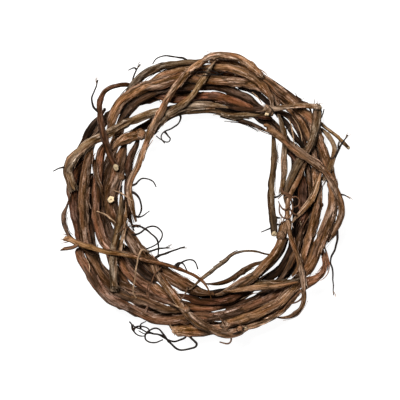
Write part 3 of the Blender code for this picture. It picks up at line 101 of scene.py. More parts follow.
# Where the middle of the photograph is, in the frame that the routes are traced in.
PHOTO_MIDDLE = (-3.0, -3.0)
PLAIN_STEM = "thick_nw"  # a stem with no tendril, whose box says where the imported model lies
PLAIN_SIDES = 8          # sides of that stem's packed tube
PLACE_TOLERANCE = 0.2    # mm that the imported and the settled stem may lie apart

# name, bark tone, first and last diameter in mm, usual level, and the route:
# degrees round the ring from +X, mm from the middle, and a level where it differs.
STEMS = (
    ("hoop_outer", "dark", 9.6, 8.6, 0, ((4, 128.9, 0.4), (14, 126.9, 0.2), (24, 125.9), (34, 125.9),
     (44, 126.4), (54, 127, 0.3), (64, 126.8, 0.6), (74, 126, 0.8), (84, 124.8, 0.8), (94, 122.8, 0.8),
     (104, 120.6, 0.6), (114, 117.6, 0.4), (124, 114.4, 0.2), (134, 112.2), (144, 105.5), (154, 101),
     (164, 100.5), (174, 100.9, 0.2), (184, 101.9, 0.5), (194, 102.9, 0.8), (204, 103.2, 1),
     (214, 102.8, 1), (224, 101.6, 0.9), (234, 101.6, 0.7), (244, 103.4, 0.5), (254, 108.5, 0.3),
     (264, 114, 0.1), (274, 119.6), (284, 122), (294, 123.8, 0.2), (304, 125, 0.5), (314, 125.8, 0.8),
     (324, 126.4, 1), (334, 127, 1), (344, 127.8, 0.9), (354, 129, 0.7))),
    ("hoop_inner", "dark", 9, 8.2, 1, ((338, 101.5, 1.2), (348, 100.1, 1.2), (358, 99.5, 1.2),
     (368, 99.5, 1.2), (378, 99.9, 1.2), (388, 100.5, 1.2), (398, 101.1, 1.2), (408, 101.5, 1.2),
     (418, 101.1, 1.2), (428, 100.3, 1.2), (438, 100.1, 1.2), (448, 100.9, 1.3), (458, 103.5, 1.6),
     (468, 108.1, 2.2), (478, 114, 2.6), (488, 119.4, 2.6), (498, 123.4, 2.3), (508, 125.8, 1.5),
     (518, 127.2, 0.9), (528, 128, 0.8), (538, 128, 0.7), (548, 127.4, 0.6), (558, 126.6, 0.6),
     (568, 126, 0.6), (578, 125.4, 0.7), (588, 124.6, 0.9), (598, 123.2, 1.2), (608, 120.6, 1.8),
     (618, 116.8, 2.4), (628, 112.6, 2.6), (638, 108.9, 2.2), (648, 105.9, 1.8), (658, 104.1, 1.4),
     (668, 103.3, 1.2), (677, 102.9, 1.2))),
    ("arch_cane", "tan", 7, 6, 9.5, ((64, 136.3), (67, 138.3), (70, 139.8), (73, 141.8), (76, 143.1),
     (79, 143.5), (83, 142.6), (86, 140.8), (88, 138.3), (90, 135.3), (92, 132.3), (94, 129.3), (96, 125.9),
     (98, 122.4), (100, 118.9), (103, 114.9), (106, 110.4), (109, 106), (112, 101.5), (115, 97.5),
     (118, 93), (121, 90), (124, 87.1), (128, 84.1), (132, 81.1), (136, 78.6), (140, 76.6), (145, 74.4),
     (150, 73.6), (155, 72.6), (160, 72.8), (164, 74.1, 8), (170, 75.1, 7), (176, 75.1, 6), (182, 74.1, 6),
     (188, 72.6, 6), (194, 72.1, 5), (200, 72.6, 4))),
    ("drop_cane", "olive", 6.5, 6, 8.4, ((84.5, 137.3, 8), (86, 132.3), (87, 126.9), (88.5, 121.4),
     (90.5, 115.4), (92.5, 109.5), (95, 103.5), (98, 99), (102, 95.5), (106, 93), (110, 91.5, 7.5),
     (114, 91, 7), (118, 88, 6.8), (122, 85.6, 6.6), (126, 83.4, 6.4), (130, 81.4, 6.2), (135, 78.6, 6),
     (140, 76.2, 5.8), (145, 74.4, 5.4))),
    ("crown_cane", "red", 7.8, 6, 6.8, ((52, 113.4, 6.6), (54, 117.4), (57, 121.9), (61, 125.9),
     (65, 128.4), (70, 130), (75, 130.8), (80, 130.6), (84, 129.6), (88, 127.9), (92, 126.7), (97, 126.7),
     (102, 127.7), (106, 128.4), (110, 128.4), (114, 125.4, 5.6), (118, 124.7, 5.6), (122, 125.9, 4.8),
     (126, 128.3, 4.3), (131, 129.3, 3.8))),
    ("ridge_cane", "grey", 6, 7.6, 7.2, ((89, 133.8, 6.5), (92, 133.3), (96, 134.1), (100, 134.5),
     (104, 134.9), (108, 135.3), (112, 135.1), (116, 133.8), (119, 131.9, 6.4), (122, 129.8, 5.4),
     (126, 126.4, 4.6))),
    ("thick_nw", "brown", 11.5, 7, 7, ((146, 115.9), (142, 117.9), (138, 119.9), (134, 121.9), (130, 123.4),
     (126, 123.7), (122, 122.4), (118, 120.9), (114, 119.9), (110, 119.4), (106, 119.6), (102, 120.4),
     (98, 120.4, 6.5), (94, 117.9, 6.2), (90, 116.2), (85, 116), (80, 116.4), (76, 117), (72, 118.2),
     (68, 119.9, 5.5), (64, 121.4, 5), (60.5, 121.3, 4.8), (57, 119.3, 4.6), (53.5, 116.8, 4.6),
     (50.3, 114.5, 4.6))),
    ("hook_nw", "red", 4.6, 6.2, 9, ((119, 126.4, 3.5), (121, 129.8, 4.5), (123, 132.8, 5.5),
     (125, 136.3, 6.5), (127, 139.3, 7), (129, 141.6, 7.5), (131, 143.1, 8), (133, 143.5, 8.5),
     (135, 142.3), (137, 139.6), (139, 136.1), (141, 132.3), (143, 128.4), (145, 124.2), (147, 119.9),
     (149, 115.2), (151, 110.9), (153, 107), (155, 103), (157, 99.3), (159, 95.5), (161.3, 91.7))),
    ("red_top", "rust", 8.8, 6, 4.6, ((49, 105, 4), (53, 101.5), (57, 100.3), (61, 100.3), (65, 100.8),
     (70, 101.5), (75, 101.8), (80, 101.9), (85, 101.5), (90, 101), (95, 100.3), (100, 99.5),
     (104, 99.5, 4), (107, 100.7), (110, 103.5, 3), (113, 107.8, 3), (116, 111.9, 3), (119, 115.7, 3),
     (123, 119.4, 3))),
    ("shade_top", "dark", 9.2, 7.4, 3.2, ((55, 108.7), (60, 108.2), (65, 108.7), (70, 109.3), (75, 109.9),
     (80, 111.1), (85, 112), (90, 110.7), (95, 110.4), (100, 111.9), (105, 113.9), (110, 115.4),
     (114, 115.9), (118, 115.6, 3.8), (122, 116.3, 4.4), (126, 116.8, 4.6), (130, 116.4, 4.6),
     (134, 114.4, 4.4), (138, 111.6, 4), (142, 108.8, 3.6), (146, 106.3))),
    ("knot_cane", "grey", 7, 9.4, 6, ((74, 93, 5.5), (78, 92.3), (82, 92.1), (86, 91.7), (90, 91.5),
     (95, 91.8), (100, 92.1), (104, 91.7), (108, 91.7), (112, 93.3, 6.5), (116, 95.5), (120, 97.7, 7),
     (125, 100.1, 8), (130, 102.3, 8), (135, 105.5, 8), (140, 109, 8), (145, 112.7, 8), (149, 117.4, 8),
     (152, 122.2, 8), (155, 126.9, 8), (158, 129.6, 8), (161, 132.9, 8), (164, 135.9, 8), (167, 137.9, 8),
     (170, 137.4, 7.5), (172, 135.1, 8), (174, 132.3, 8), (176.5, 129.9, 7.6))),
    ("rim_top", "olive", 5.2, 5.6, 5.6, ((50, 104, 5), (53, 101), (56, 97.5), (59, 94.5), (62, 91.8),
     (65, 89.4), (68, 87.1), (71, 85.6), (74, 85), (78, 85.6), (82, 86.4), (87, 86.6), (92, 86.6),
     (97, 87.2), (101, 87.9), (106, 88.2), (111, 87.8), (116, 86.9, 5), (121, 85.1, 5), (127, 84, 4.2),
     (132, 86, 3.6), (137, 89, 3.2), (142, 92.6, 3), (147, 95.4, 2.8))),
    ("rim_ne", "rust", 5, 4.4, 6.3, ((43, 94.3, 5), (46, 92.3), (50, 90.3), (54, 88.6), (58, 87),
     (62, 85.6), (66, 84.4, 6), (70, 83, 6), (74, 81.9, 5.6), (78, 82.2, 5))),
    ("red_ne", "rust", 6.5, 5, 5, ((18, 112.6, 2.4), (24, 113.7, 2.4), (30, 115.1, 2.4), (35, 116.2, 2.4),
     (40.5, 117.8, 2.5), (45, 116.4, 2.8), (49, 112.3, 3.4), (53, 107, 4), (57, 101.3, 5.2),
     (61, 97.9, 5.4), (65, 95.7, 5.2), (69, 94.1), (73, 93.1, 4.4), (77, 92.7, 3.6))),
    ("light_ne", "light", 5.2, 6.4, 9, ((37.6, 147.6, 8.6), (39.8, 140.6, 8.6), (41.8, 134.2, 8.6),
     (44, 127.8, 8.6), (45.9, 122.2, 8.6), (48.1, 116.8, 8.6), (50, 112.6, 8.6), (52, 108.4, 8.6),
     (53.8, 105, 8.6))),
    ("corner_ne", "grey", 8.8, 6.2, 8.3, ((38, 145.3, 6), (36.1, 140.9, 6.3), (33.3, 134.9, 6.8),
     (30.2, 129.3, 7.4), (27, 123.3, 7.8), (24.4, 116.4, 7.8), (22, 109, 7.6), (20, 103.5, 7.4),
     (17, 99, 7.2), (14, 95.3, 7), (10, 91, 6.8), (6, 87.1, 6.6), (2, 84.1, 6), (-2, 83.6, 5),
     (-5.5, 84.8, 4.6), (-8.5, 86.4, 4.4))),
    ("long_ne", "brown", 8.4, 10.6, 6.2, ((86, 137, 3.4), (82, 137.2, 3.6), (78, 136, 4), (74, 133.8, 4.6),
     (70, 132.7, 5.4), (65, 131.3, 6), (60, 130.3), (55, 129.7), (50, 129.3), (46, 129, 5.4),
     (42, 129.6, 5), (38, 131.5, 5.2), (34, 131.3, 5), (30, 129, 5), (26, 127, 5.4), (22, 126.6, 5.6),
     (18, 126.4, 5.6), (14, 126.4, 5.4), (10, 127.4, 5.2), (6, 129, 5.6), (2, 129.3, 6), (-2, 129.9, 6.6),
     (-6, 129.5, 7), (-10, 128.8, 7.6), (-14, 127.4, 8), (-18, 126.2, 8), (-22, 125.6, 8), (-26, 125.4, 8),
     (-30, 127, 8), (-34, 127, 8), (-37.6, 125.4, 7.6))),
    ("edge_ne", "dark", 3, 4.8, 4.6, ((70, 136.9, 4.4), (66, 135.7), (61, 135.5), (56, 135.1), (51, 135.1),
     (47, 135.5), (44, 136.9, 4.2), (41.6, 140.5, 4.2), (39, 139, 3.6), (36.7, 136.5, 3))),
    ("mid_ne", "brown", 8, 8.2, 5, ((46, 124, 3.4), (42, 123.8, 3.8), (38, 123.6, 4), (34, 123, 4.2),
     (30, 122.2, 4.4), (26, 120.2), (22, 118.8, 5.2), (18, 117.4, 5.2), (14, 116.2), (10, 115),
     (6, 114.2, 5.6), (2, 114.2, 6), (-2, 114.4, 6.4), (-6, 114, 6.4), (-10, 113.6, 6.4), (-14, 113.8, 6.4),
     (-18, 114.4, 6.4), (-22, 114.8, 6.4), (-26, 115.4, 6.4), (-30, 116.6, 6.2), (-34, 118, 6),
     (-38, 119, 5.4), (-42, 118.8))),
    ("sweep_ne", "tan", 6.4, 6.6, 9.6, ((46, 94.1), (43, 95.5), (39, 97.3), (35, 98.9), (31, 100.5),
     (27.5, 102.9), (24, 106.5), (21, 110.4), (18, 114.8), (15, 119.4), (12, 124), (9, 127.6),
     (5, 131.1, 9.2), (1, 134.3, 9), (-3, 137.1, 8.8), (-6.5, 138.5, 8.8), (-9, 138.1, 8.6),
     (-12, 136.1, 8.4), (-15, 133.7, 8), (-18.5, 131.3, 7))),
    ("hook_ne", "grey", 4, 5.6, 7, ((33, 131.8, 4), (31, 134.8, 5), (28.5, 137.3, 6), (26, 138.9, 6.6),
     (23.5, 140.1), (21, 139.9), (19, 137.9), (17, 135.1), (15, 132.1), (12.8, 129.3, 6.4),
     (10.4, 123.8, 6.4), (8.4, 120.4, 5.6))),
    ("twig_ne", "olive", 4, 3, 5.6, ((35, 135.3, 4.6), (32.5, 137.7, 5), (30, 139.7), (27, 142.9),
     (24, 146.5), (21, 150.4), (18.6, 154))),
    ("inner_rod_long", "olive", 4.8, 7, 6.4, ((47, 99.5, 4), (43.5, 96.1, 5), (40, 92, 5.4),
     (36.5, 88, 5.6), (33, 83.7, 6), (28, 79.1), (23, 75.1), (18, 71.7), (12, 68.8), (6, 67), (0, 66.2),
     (-5, 66.2), (-10, 68.4), (-15, 70.4), (-20, 73.1), (-24, 75.7), (-28, 77.9))),
    ("inner_rod_short", "grey", 6.2, 5, 5.6, ((47.6, 111.8, 7.2), (44, 108.1, 7.2), (40, 104.9, 7),
     (36.4, 101.3, 7), (32.8, 97.5, 6.8), (29.5, 94.1, 6.4), (26, 91.1, 6), (22, 87.6, 6), (18, 85.5, 6),
     (13, 82.7, 6), (8, 81.1, 6), (3, 79.9, 6))),
    ("slant_e", "light", 5.6, 6, 8.4, ((-17.4, 91.1, 8), (-13.5, 94.1), (-10, 97.3), (-7, 100.9),
     (-4, 104.9), (-1, 109.1), (2, 112.8), (5, 116), (8, 118.6), (10.6, 121, 8), (13, 124, 7))),
    ("red_e", "rust", 8.4, 7, 5.4, ((-14, 101, 6.4), (-10, 102.9, 5.8), (-6, 101.3), (-2, 100.1), (2, 99.9),
     (6, 100.1), (10, 100.7), (14, 101.1), (18, 102.5, 4.6), (22, 102.5, 4.2), (26, 100.9, 4),
     (30, 98.3, 4))),
    ("fibre_e", "brown", 7.4, 7.2, 4.6, ((35, 102.5, 3.6), (30, 104.2, 3.8), (25, 106.2, 4.2), (20, 108.1),
     (15, 107.5), (10, 106.9), (5, 106.5), (0, 106.9), (-5, 107.3), (-10, 106.7), (-15, 105.5, 4.8),
     (-20, 104.9), (-25, 105.3, 5), (-30, 107.5, 5.2), (-34, 109.8, 5.4), (-38, 111.6, 5.6),
     (-42, 113, 5.6), (-46, 114, 5.2), (-50, 115))),
    ("shade_e", "dark", 8.6, 7.6, 3.2, ((24, 100.4, 3), (18, 97.4, 3), (12, 94.5), (6, 93.9), (0, 93.7),
     (-5, 94.5), (-10, 95.9), (-15, 97.5), (-20, 98.9), (-25, 100.5, 3.4), (-30, 102.9, 3.6),
     (-35, 105.1, 3.8), (-40, 106.5, 4), (-45, 106.7, 4), (-50, 105.9, 4), (-55, 104.5, 3.6),
     (-60, 104.5))),
    ("swing_se", "tan", 4.8, 4.6, 9.4, ((22, 112.6, 7.8), (19.5, 108.1, 7.8), (16.5, 103.5, 8),
     (13, 99.1, 8), (10, 95.3, 8), (7, 91.5, 7.8), (4, 88.2, 7.4), (0, 85.6, 7), (-4, 84.6, 7),
     (-8, 84.6, 7.4), (-12, 85.8, 8), (-16, 87.8, 8.8), (-20, 90.7), (-23.5, 94.5), (-26.5, 98.9),
     (-29, 103.7), (-31.2, 108.7), (-33.4, 114), (-35.6, 119.4), (-38, 125), (-40.4, 130.9),
     (-43, 137.3, 9.2), (-45.4, 142.9, 9), (-48, 146.7, 8.4), (-51, 148.1, 8), (-54, 147.5, 7.4),
     (-56.6, 144.3, 6.4), (-59, 140.1, 5))),
    ("frayed_se", "light", 10, 4.6, 7.6, ((-40.4, 132.6, 6.2), (-38.2, 135.2, 6.8), (-36.2, 138.1, 7.2),
     (-34, 140.3, 7.4), (-31.6, 140.7), (-29.2, 139.5, 7.4), (-27, 136.5, 7), (-25, 133.3, 6),
     (-22.8, 129.7, 4.4), (-21, 125.4, 3.4))),
    ("pair_se_a", "brown", 4.8, 5.8, 8.6, ((-78, 96.5, 6), (-74, 97.9, 7), (-70, 99.3, 7.6),
     (-66, 100.9, 8), (-62, 103.3, 8.4), (-58, 106.7), (-55, 110), (-52, 113.6), (-49, 117.6), (-46, 121.8),
     (-43.6, 125.4, 8.2), (-41.6, 128.4, 7.8))),
    ("pair_se_b", "grey", 4.4, 5.2, 8.2, ((-70, 94.9, 5.4), (-66, 96.3, 6.4), (-62, 98.1, 7.4),
     (-58, 101.3, 8), (-54, 105.1), (-50.6, 109.5), (-47.4, 114.2), (-44.4, 118.8), (-41.6, 122.8, 7.8),
     (-39, 126.2, 7))),
    ("orange_se", "tan", 10.2, 8, 6.8, ((-17.5, 88.2, 4.8), (-21.5, 88.2, 5.6), (-26.5, 89.7, 6.4),
     (-30, 91.7), (-33.5, 92.7), (-37, 93), (-41, 93.7), (-45, 93.4), (-49, 93.4), (-53, 93.7), (-57, 94.3),
     (-61, 95.3, 6.4), (-65, 96.1, 6), (-69, 96.5, 5.4), (-73, 97.9, 5), (-78, 99.1, 5), (-83, 99.9, 5))),
    ("inner_se", "brown", 5.2, 5.8, 6, ((-42, 88.6, 4.2), (-46, 88.4, 4.2), (-50, 86, 4.2),
     (-54, 84.6, 4.2), (-58, 84.2, 4.2), (-62, 84.6, 4.6), (-66, 85.4, 5.6), (-70, 87.2, 6.6),
     (-74, 89, 7.6), (-78, 89.6, 8.2), (-82, 90.2, 8.6), (-86, 90.4, 8.8), (-90, 90.6, 9))),
    ("inner_arch", "grey", 4.2, 2, 7, ((-99, 94, 8.8), (-95.5, 89.4, 8.6), (-92, 84.6, 8), (-89, 80.9, 7.4),
     (-85, 76.5), (-81, 73.1), (-77, 70.5), (-73, 68.7), (-69, 67.3), (-65, 65.2), (-60, 64.9), (-55, 65.6),
     (-50, 68.2), (-46.5, 71.6), (-43.6, 75.4, 6.2), (-41.4, 79.8, 5.2), (-39.8, 84.6, 4.4),
     (-38.2, 89.6, 3.8), (-36.6, 94, 3.6))),
    ("thick_s", "tan", 9.6, 9, 7.4, ((-80.8, 126.2, 7), (-77, 125.8), (-73, 125.6), (-69, 125.6),
     (-65, 126), (-61, 126.8), (-57, 127.6), (-53, 128.2), (-49, 128.6), (-45.4, 129.3, 6.4),
     (-42, 130.1, 5))),
    ("long_s", "plum", 9, 8.8, 6.6, ((203, 132.2, 5.4), (206, 133.5, 6.5), (210, 133, 6.9),
     (214, 132.8, 7.3), (218, 134.2, 7.7), (222, 135.2, 7.9), (226, 134.4, 7.9), (230, 133.1, 7.9),
     (234, 130.3, 7), (238, 129.2, 7), (242, 127.3, 7), (246, 127.4, 7), (250, 126.2, 7.2),
     (254, 124.8, 7.2), (258, 122.8, 7.2), (262, 120.4, 7.2), (266, 118.4, 7.2), (270, 117.8, 7.2),
     (275, 118, 7.2), (280, 118, 7.2), (285, 117.8, 7.2), (290, 117.8, 7.2), (295, 118.3, 7.2),
     (300, 119.2, 7.2), (305, 120, 6.2), (310, 120.2, 5.8), (315, 120.8, 5.2), (320, 121.4, 4.4))),
    ("outer_s", "orange", 12.6, 6, 5.6, ((257.4, 136.1), (261, 134.7), (265, 133.7), (269, 132.7, 5),
     (273, 131.9, 4.6), (278, 132.3, 4.6), (283, 133.7, 5), (288, 135.7), (292, 137.1), (296, 137.9),
     (300, 137.9), (304, 137.1), (308, 135.7, 5), (312, 134.3, 4.6), (316, 133.7, 4.2))),
    ("cross_s", "tan", 7, 8.4, 9, ((233, 82.6, 8.4), (236, 85.8, 8.6), (240, 89.7), (244, 93.5),
     (248, 97.1), (251.6, 100.9), (254.6, 104.9), (257.4, 109.3), (260.2, 113.8), (263, 118.6),
     (265.8, 123.4), (269, 128), (272.4, 131.9), (276, 136.6), (280, 139.2), (284, 139.8), (287.6, 139))),
    ("dark_s", "dark", 8.4, 7, 4.6, ((245.2, 133.9, 3.2), (249, 131.9, 3), (253, 129.7, 2.8),
     (257, 128.2, 2.6), (262, 127, 2.4), (267, 126.4, 2.4), (272, 126.8, 2.4), (277, 127.8, 2.6),
     (282, 129, 2.6))),
    ("outer_w", "rust", 9.2, 9.6, 6, ((163, 124.9, 4.6), (166, 127.4, 5), (169, 129.3), (172, 130.5),
     (176, 131.1), (180, 130.9), (184, 130.5), (188, 129.7), (192, 129.2, 5.4), (196, 129.5, 5),
     (200, 130.9, 4.4), (204, 129.9, 4))),
    ("second_w", "brown", 10.2, 9, 7, ((154, 121.9, 5.6), (158, 120.8, 6.4), (162, 119.6), (166, 118.6),
     (170, 118.2), (175, 118.4), (180, 119), (185, 120), (190, 121.6), (195, 123.4, 6.8), (200, 125, 6.4),
     (204, 126, 6), (208, 127, 6), (212, 126.8, 6), (216, 127.8, 6), (220, 128.5, 6), (224, 128.7, 5.8),
     (228, 127.2, 5.6), (232, 125.4, 5.4), (236, 122, 5.4), (240, 119.4, 5.6), (244, 118, 5.8),
     (248, 117.8, 6), (252, 117.2, 6), (256, 115.8, 5.8), (260, 113.4, 5.4))),
    ("hook_w", "brown", 3.6, 4.8, 6, ((181, 134.9, 3.4), (183, 136.3, 4.4), (185, 138.7, 5.4),
     (187.4, 140.9), (190, 141.9), (193, 141.5), (196, 139.7), (199, 136.9), (201.6, 133.7, 7),
     (204, 130.7, 7.4), (207, 125.8, 7.6), (210, 121.8, 7), (213, 119))),
    ("golden_twig", "gold", 5.8, 2.8, 9.6, ((196.6, 144.4, 9.2), (197.4, 139.3), (199.6, 134.3),
     (201.8, 129), (204, 123.4), (206, 118.4), (208, 113.6), (210, 108.9), (212.4, 103.9), (215, 99.1),
     (218, 94.5), (221.4, 90.3), (225.4, 86.6), (230, 83), (235, 80), (240, 77.8), (245, 76.4), (250, 75.8),
     (255, 76.2), (260, 77.4), (264.4, 79.4), (268, 82.2), (270.8, 86.2), (272.8, 90.9), (274, 96.3),
     (274.6, 101.9))),
    ("plum_w", "plum", 9.2, 7.8, 5.4, ((149, 110.9, 4.6), (153, 111.4), (157, 110.6), (161, 109.5),
     (165, 108.1), (170, 107.3), (175, 106.9), (180, 106.9), (185, 107.3), (190, 108.3), (195, 109.3),
     (200, 109.6), (205, 108.9), (210, 106.9), (214, 105.1), (218, 104.3), (223, 105.9), (228, 106.5),
     (233, 107.3), (238, 106.5), (243, 107.5, 4.7), (248, 108.5, 4.2), (253, 109.5, 3.7), (258, 110, 3.6),
     (263, 110.6, 3.6), (268, 111, 3.6), (273, 111.2, 3.6), (278, 111.2, 3.6), (283, 110.8, 3.6),
     (288, 110, 3.6), (293, 108.5, 3.6), (298, 107.5, 3.6))),
    ("light_w", "light", 4.2, 3.8, 6.6, ((157, 116.4, 4.6), (160, 113.6, 5.6), (163, 111),
     (167, 108.3, 6.8), (171, 105.1, 6.8), (175, 102.5), (180, 101.9, 5.6), (185, 101.5, 4.6))),
    ("dark_w", "dark", 8.4, 7.6, 3, ((157, 99.5), (162, 98.9), (167, 98.7), (173, 98.9), (179, 99.1),
     (185, 99.4), (191, 99.4), (197, 99.6), (203, 99.4), (209, 97.2), (214, 94.4), (218, 93.2), (222, 93.6),
     (226, 94), (230, 95.2), (234, 95.4), (238, 95.7), (242, 94.3, 2.8), (247, 97.5, 2.6))),
    ("thick_w", "brown", 12.4, 12.6, 5.2, ((143, 98, 4.4), (147, 96.1, 4.8), (151, 94.1), (155, 91.9),
     (159, 89.5), (163, 87.8), (167, 86.8), (171, 86.6), (176, 86.8), (181, 87.2), (186, 87.6), (191, 87.4),
     (196, 86), (201, 84.2), (206, 82.4), (211, 81.2), (216, 81), (221, 81.6), (226, 82.4, 5.4),
     (231, 83.2, 5.8), (236, 84, 6), (241, 84.6, 6), (246, 85.6, 6), (251, 86.8, 6), (256, 88.4, 6),
     (261, 90.3, 5.8), (266, 92.5, 5.6), (271, 94.9, 5.4), (276, 97.1, 5))),
    ("rose_w", "plum", 7.6, 5.6, 4.4, ((134, 89.9, 3.6), (138, 87.6), (142, 85.6), (146, 84.4), (150, 83.6),
     (154, 83.2), (158, 81.8), (162, 80.4), (166, 79.6), (171, 79.2, 4), (177, 79.4, 4), (183, 78.8, 4),
     (189, 78, 4), (195, 76.4, 3.8), (200, 75.4, 3.6), (206, 74.8, 3.4))),
    ("stump_nw", "tan", 7, 9.4, 6.4, ((156, 104, 3.8), (152, 102.3, 4.6), (148, 99.9, 5.4),
     (144.4, 96.9, 6), (141, 93.7), (137.6, 90.3), (134.6, 88.2))),
    ("slant_w", "olive", 5.4, 8, 7.6, ((172, 82.2, 4.4), (177, 81.6, 5.6), (182, 81, 6.6), (187, 81),
     (192, 82.6), (197, 85.8), (201, 89.4), (205, 93.5), (208.6, 98.3), (212, 103.5), (215.4, 109.1),
     (218.6, 114.6), (221.6, 120), (224.2, 125.2), (226.4, 129.9))),
    ("slant_w_thin", "light", 4.2, 3.8, 7.8, ((183, 76.6, 5.8), (188, 77.2, 6.8), (193, 78.8, 7.4),
     (197, 81.2), (201, 84.6), (205, 88.8, 8), (208.4, 93.1, 8), (211.6, 97.9, 8), (214.4, 102.9, 7.4),
     (217, 108.5, 6.4))),
    ("fibre_w", "brown", 7.6, 6.6, 4.6, ((168, 113.2, 3.4), (172, 113.4, 3.6), (177, 113.2, 3.8),
     (182, 112.8, 4), (186, 113, 4), (190, 114.2), (195, 115.8), (200, 118), (204, 120.4), (208, 122.6),
     (212, 124), (216, 124.4, 4.4), (220, 123.8), (224, 122.2), (228, 120.4), (232, 118.4), (236, 116, 4.2),
     (240, 113.8, 4), (245, 112.4, 4))),
    ("sw_core", "plum", 9.6, 8.6, 3.6, ((209, 111), (214, 111.6), (219, 112.6), (224, 114), (229, 116),
     (234, 117.6), (239, 120.4), (244, 122), (249, 122.4), (254, 120.4, 3.4), (259, 118, 3.2),
     (264, 115.4, 3))),
    ("shade_s", "rust", 8, 7.4, 4.4, ((252, 101.5, 5.4), (257, 101.5, 5.4), (262, 101.9, 5.4),
     (267, 104.9, 5.4), (272, 105.1, 5.4), (277, 105.3, 5.4), (282, 105.1, 5.4), (287, 104.3, 5.4),
     (291, 102.9, 5.4), (295, 101.9, 5.4), (299, 101.9, 5.4))),
    ("core_se", "plum", 9.2, 8.4, 4.2, ((281, 109.5, 4.4), (286, 110.3, 4.5), (291, 111.2, 4.6),
     (296, 112.4, 4.4), (300, 113), (305, 113.8), (310, 113.8), (315, 112.8), (320, 112.2, 4.4),
     (325, 111.4), (330, 110.4), (335, 110.4), (340, 110.4), (345, 110), (350, 109.5))),
    ("core_s", "dark", 8.6, 8, 2.6, ((262, 98.5), (268, 98.1), (274, 98.3), (280, 98.5), (286, 98.1),
     (292, 97.1), (298, 96.1), (304, 95.5), (310, 94.7), (316, 94.5), (322, 94.9), (328, 95.5),
     (334, 95.5))),
    ("core_n", "dark", 8, 7.4, 2.6, ((40, 101.5), (46, 99.1), (52, 97.5), (58, 96.5), (64, 95.1),
     (70, 92.5), (76, 90.1), (82, 90.5), (88, 93.1), (94, 95.1), (100, 95.1), (106, 94.1), (112, 92.9),
     (117, 93.4, 2.8), (122, 91.8, 3), (127, 92, 3.2), (132, 94, 3.4), (137, 97, 3.3), (141, 99.2, 3.1),
     (144, 100.2, 3))),
    ("edge_nw", "dark", 6.2, 6, 4.2, ((130, 134.3, 4), (135, 132.3), (140, 131.7), (146, 132.3),
     (152, 131.7), (157, 131.9), (162, 133.7), (167, 133.7, 3.6), (171, 130.3, 3))),
    ("dark_ne", "dark", 6.6, 3.6, 3.4, ((72, 116.5, 3.8), (68, 116.8, 3.7), (64, 116.6, 3.6),
     (60, 116, 3.5), (56, 115), (52, 113.4, 3.3), (48, 111.6, 3.2), (44, 111, 3.2), (39, 110.8, 3.2),
     (34, 110.6, 3.2), (29, 110.8), (24, 111.4), (20, 111.2))),
)

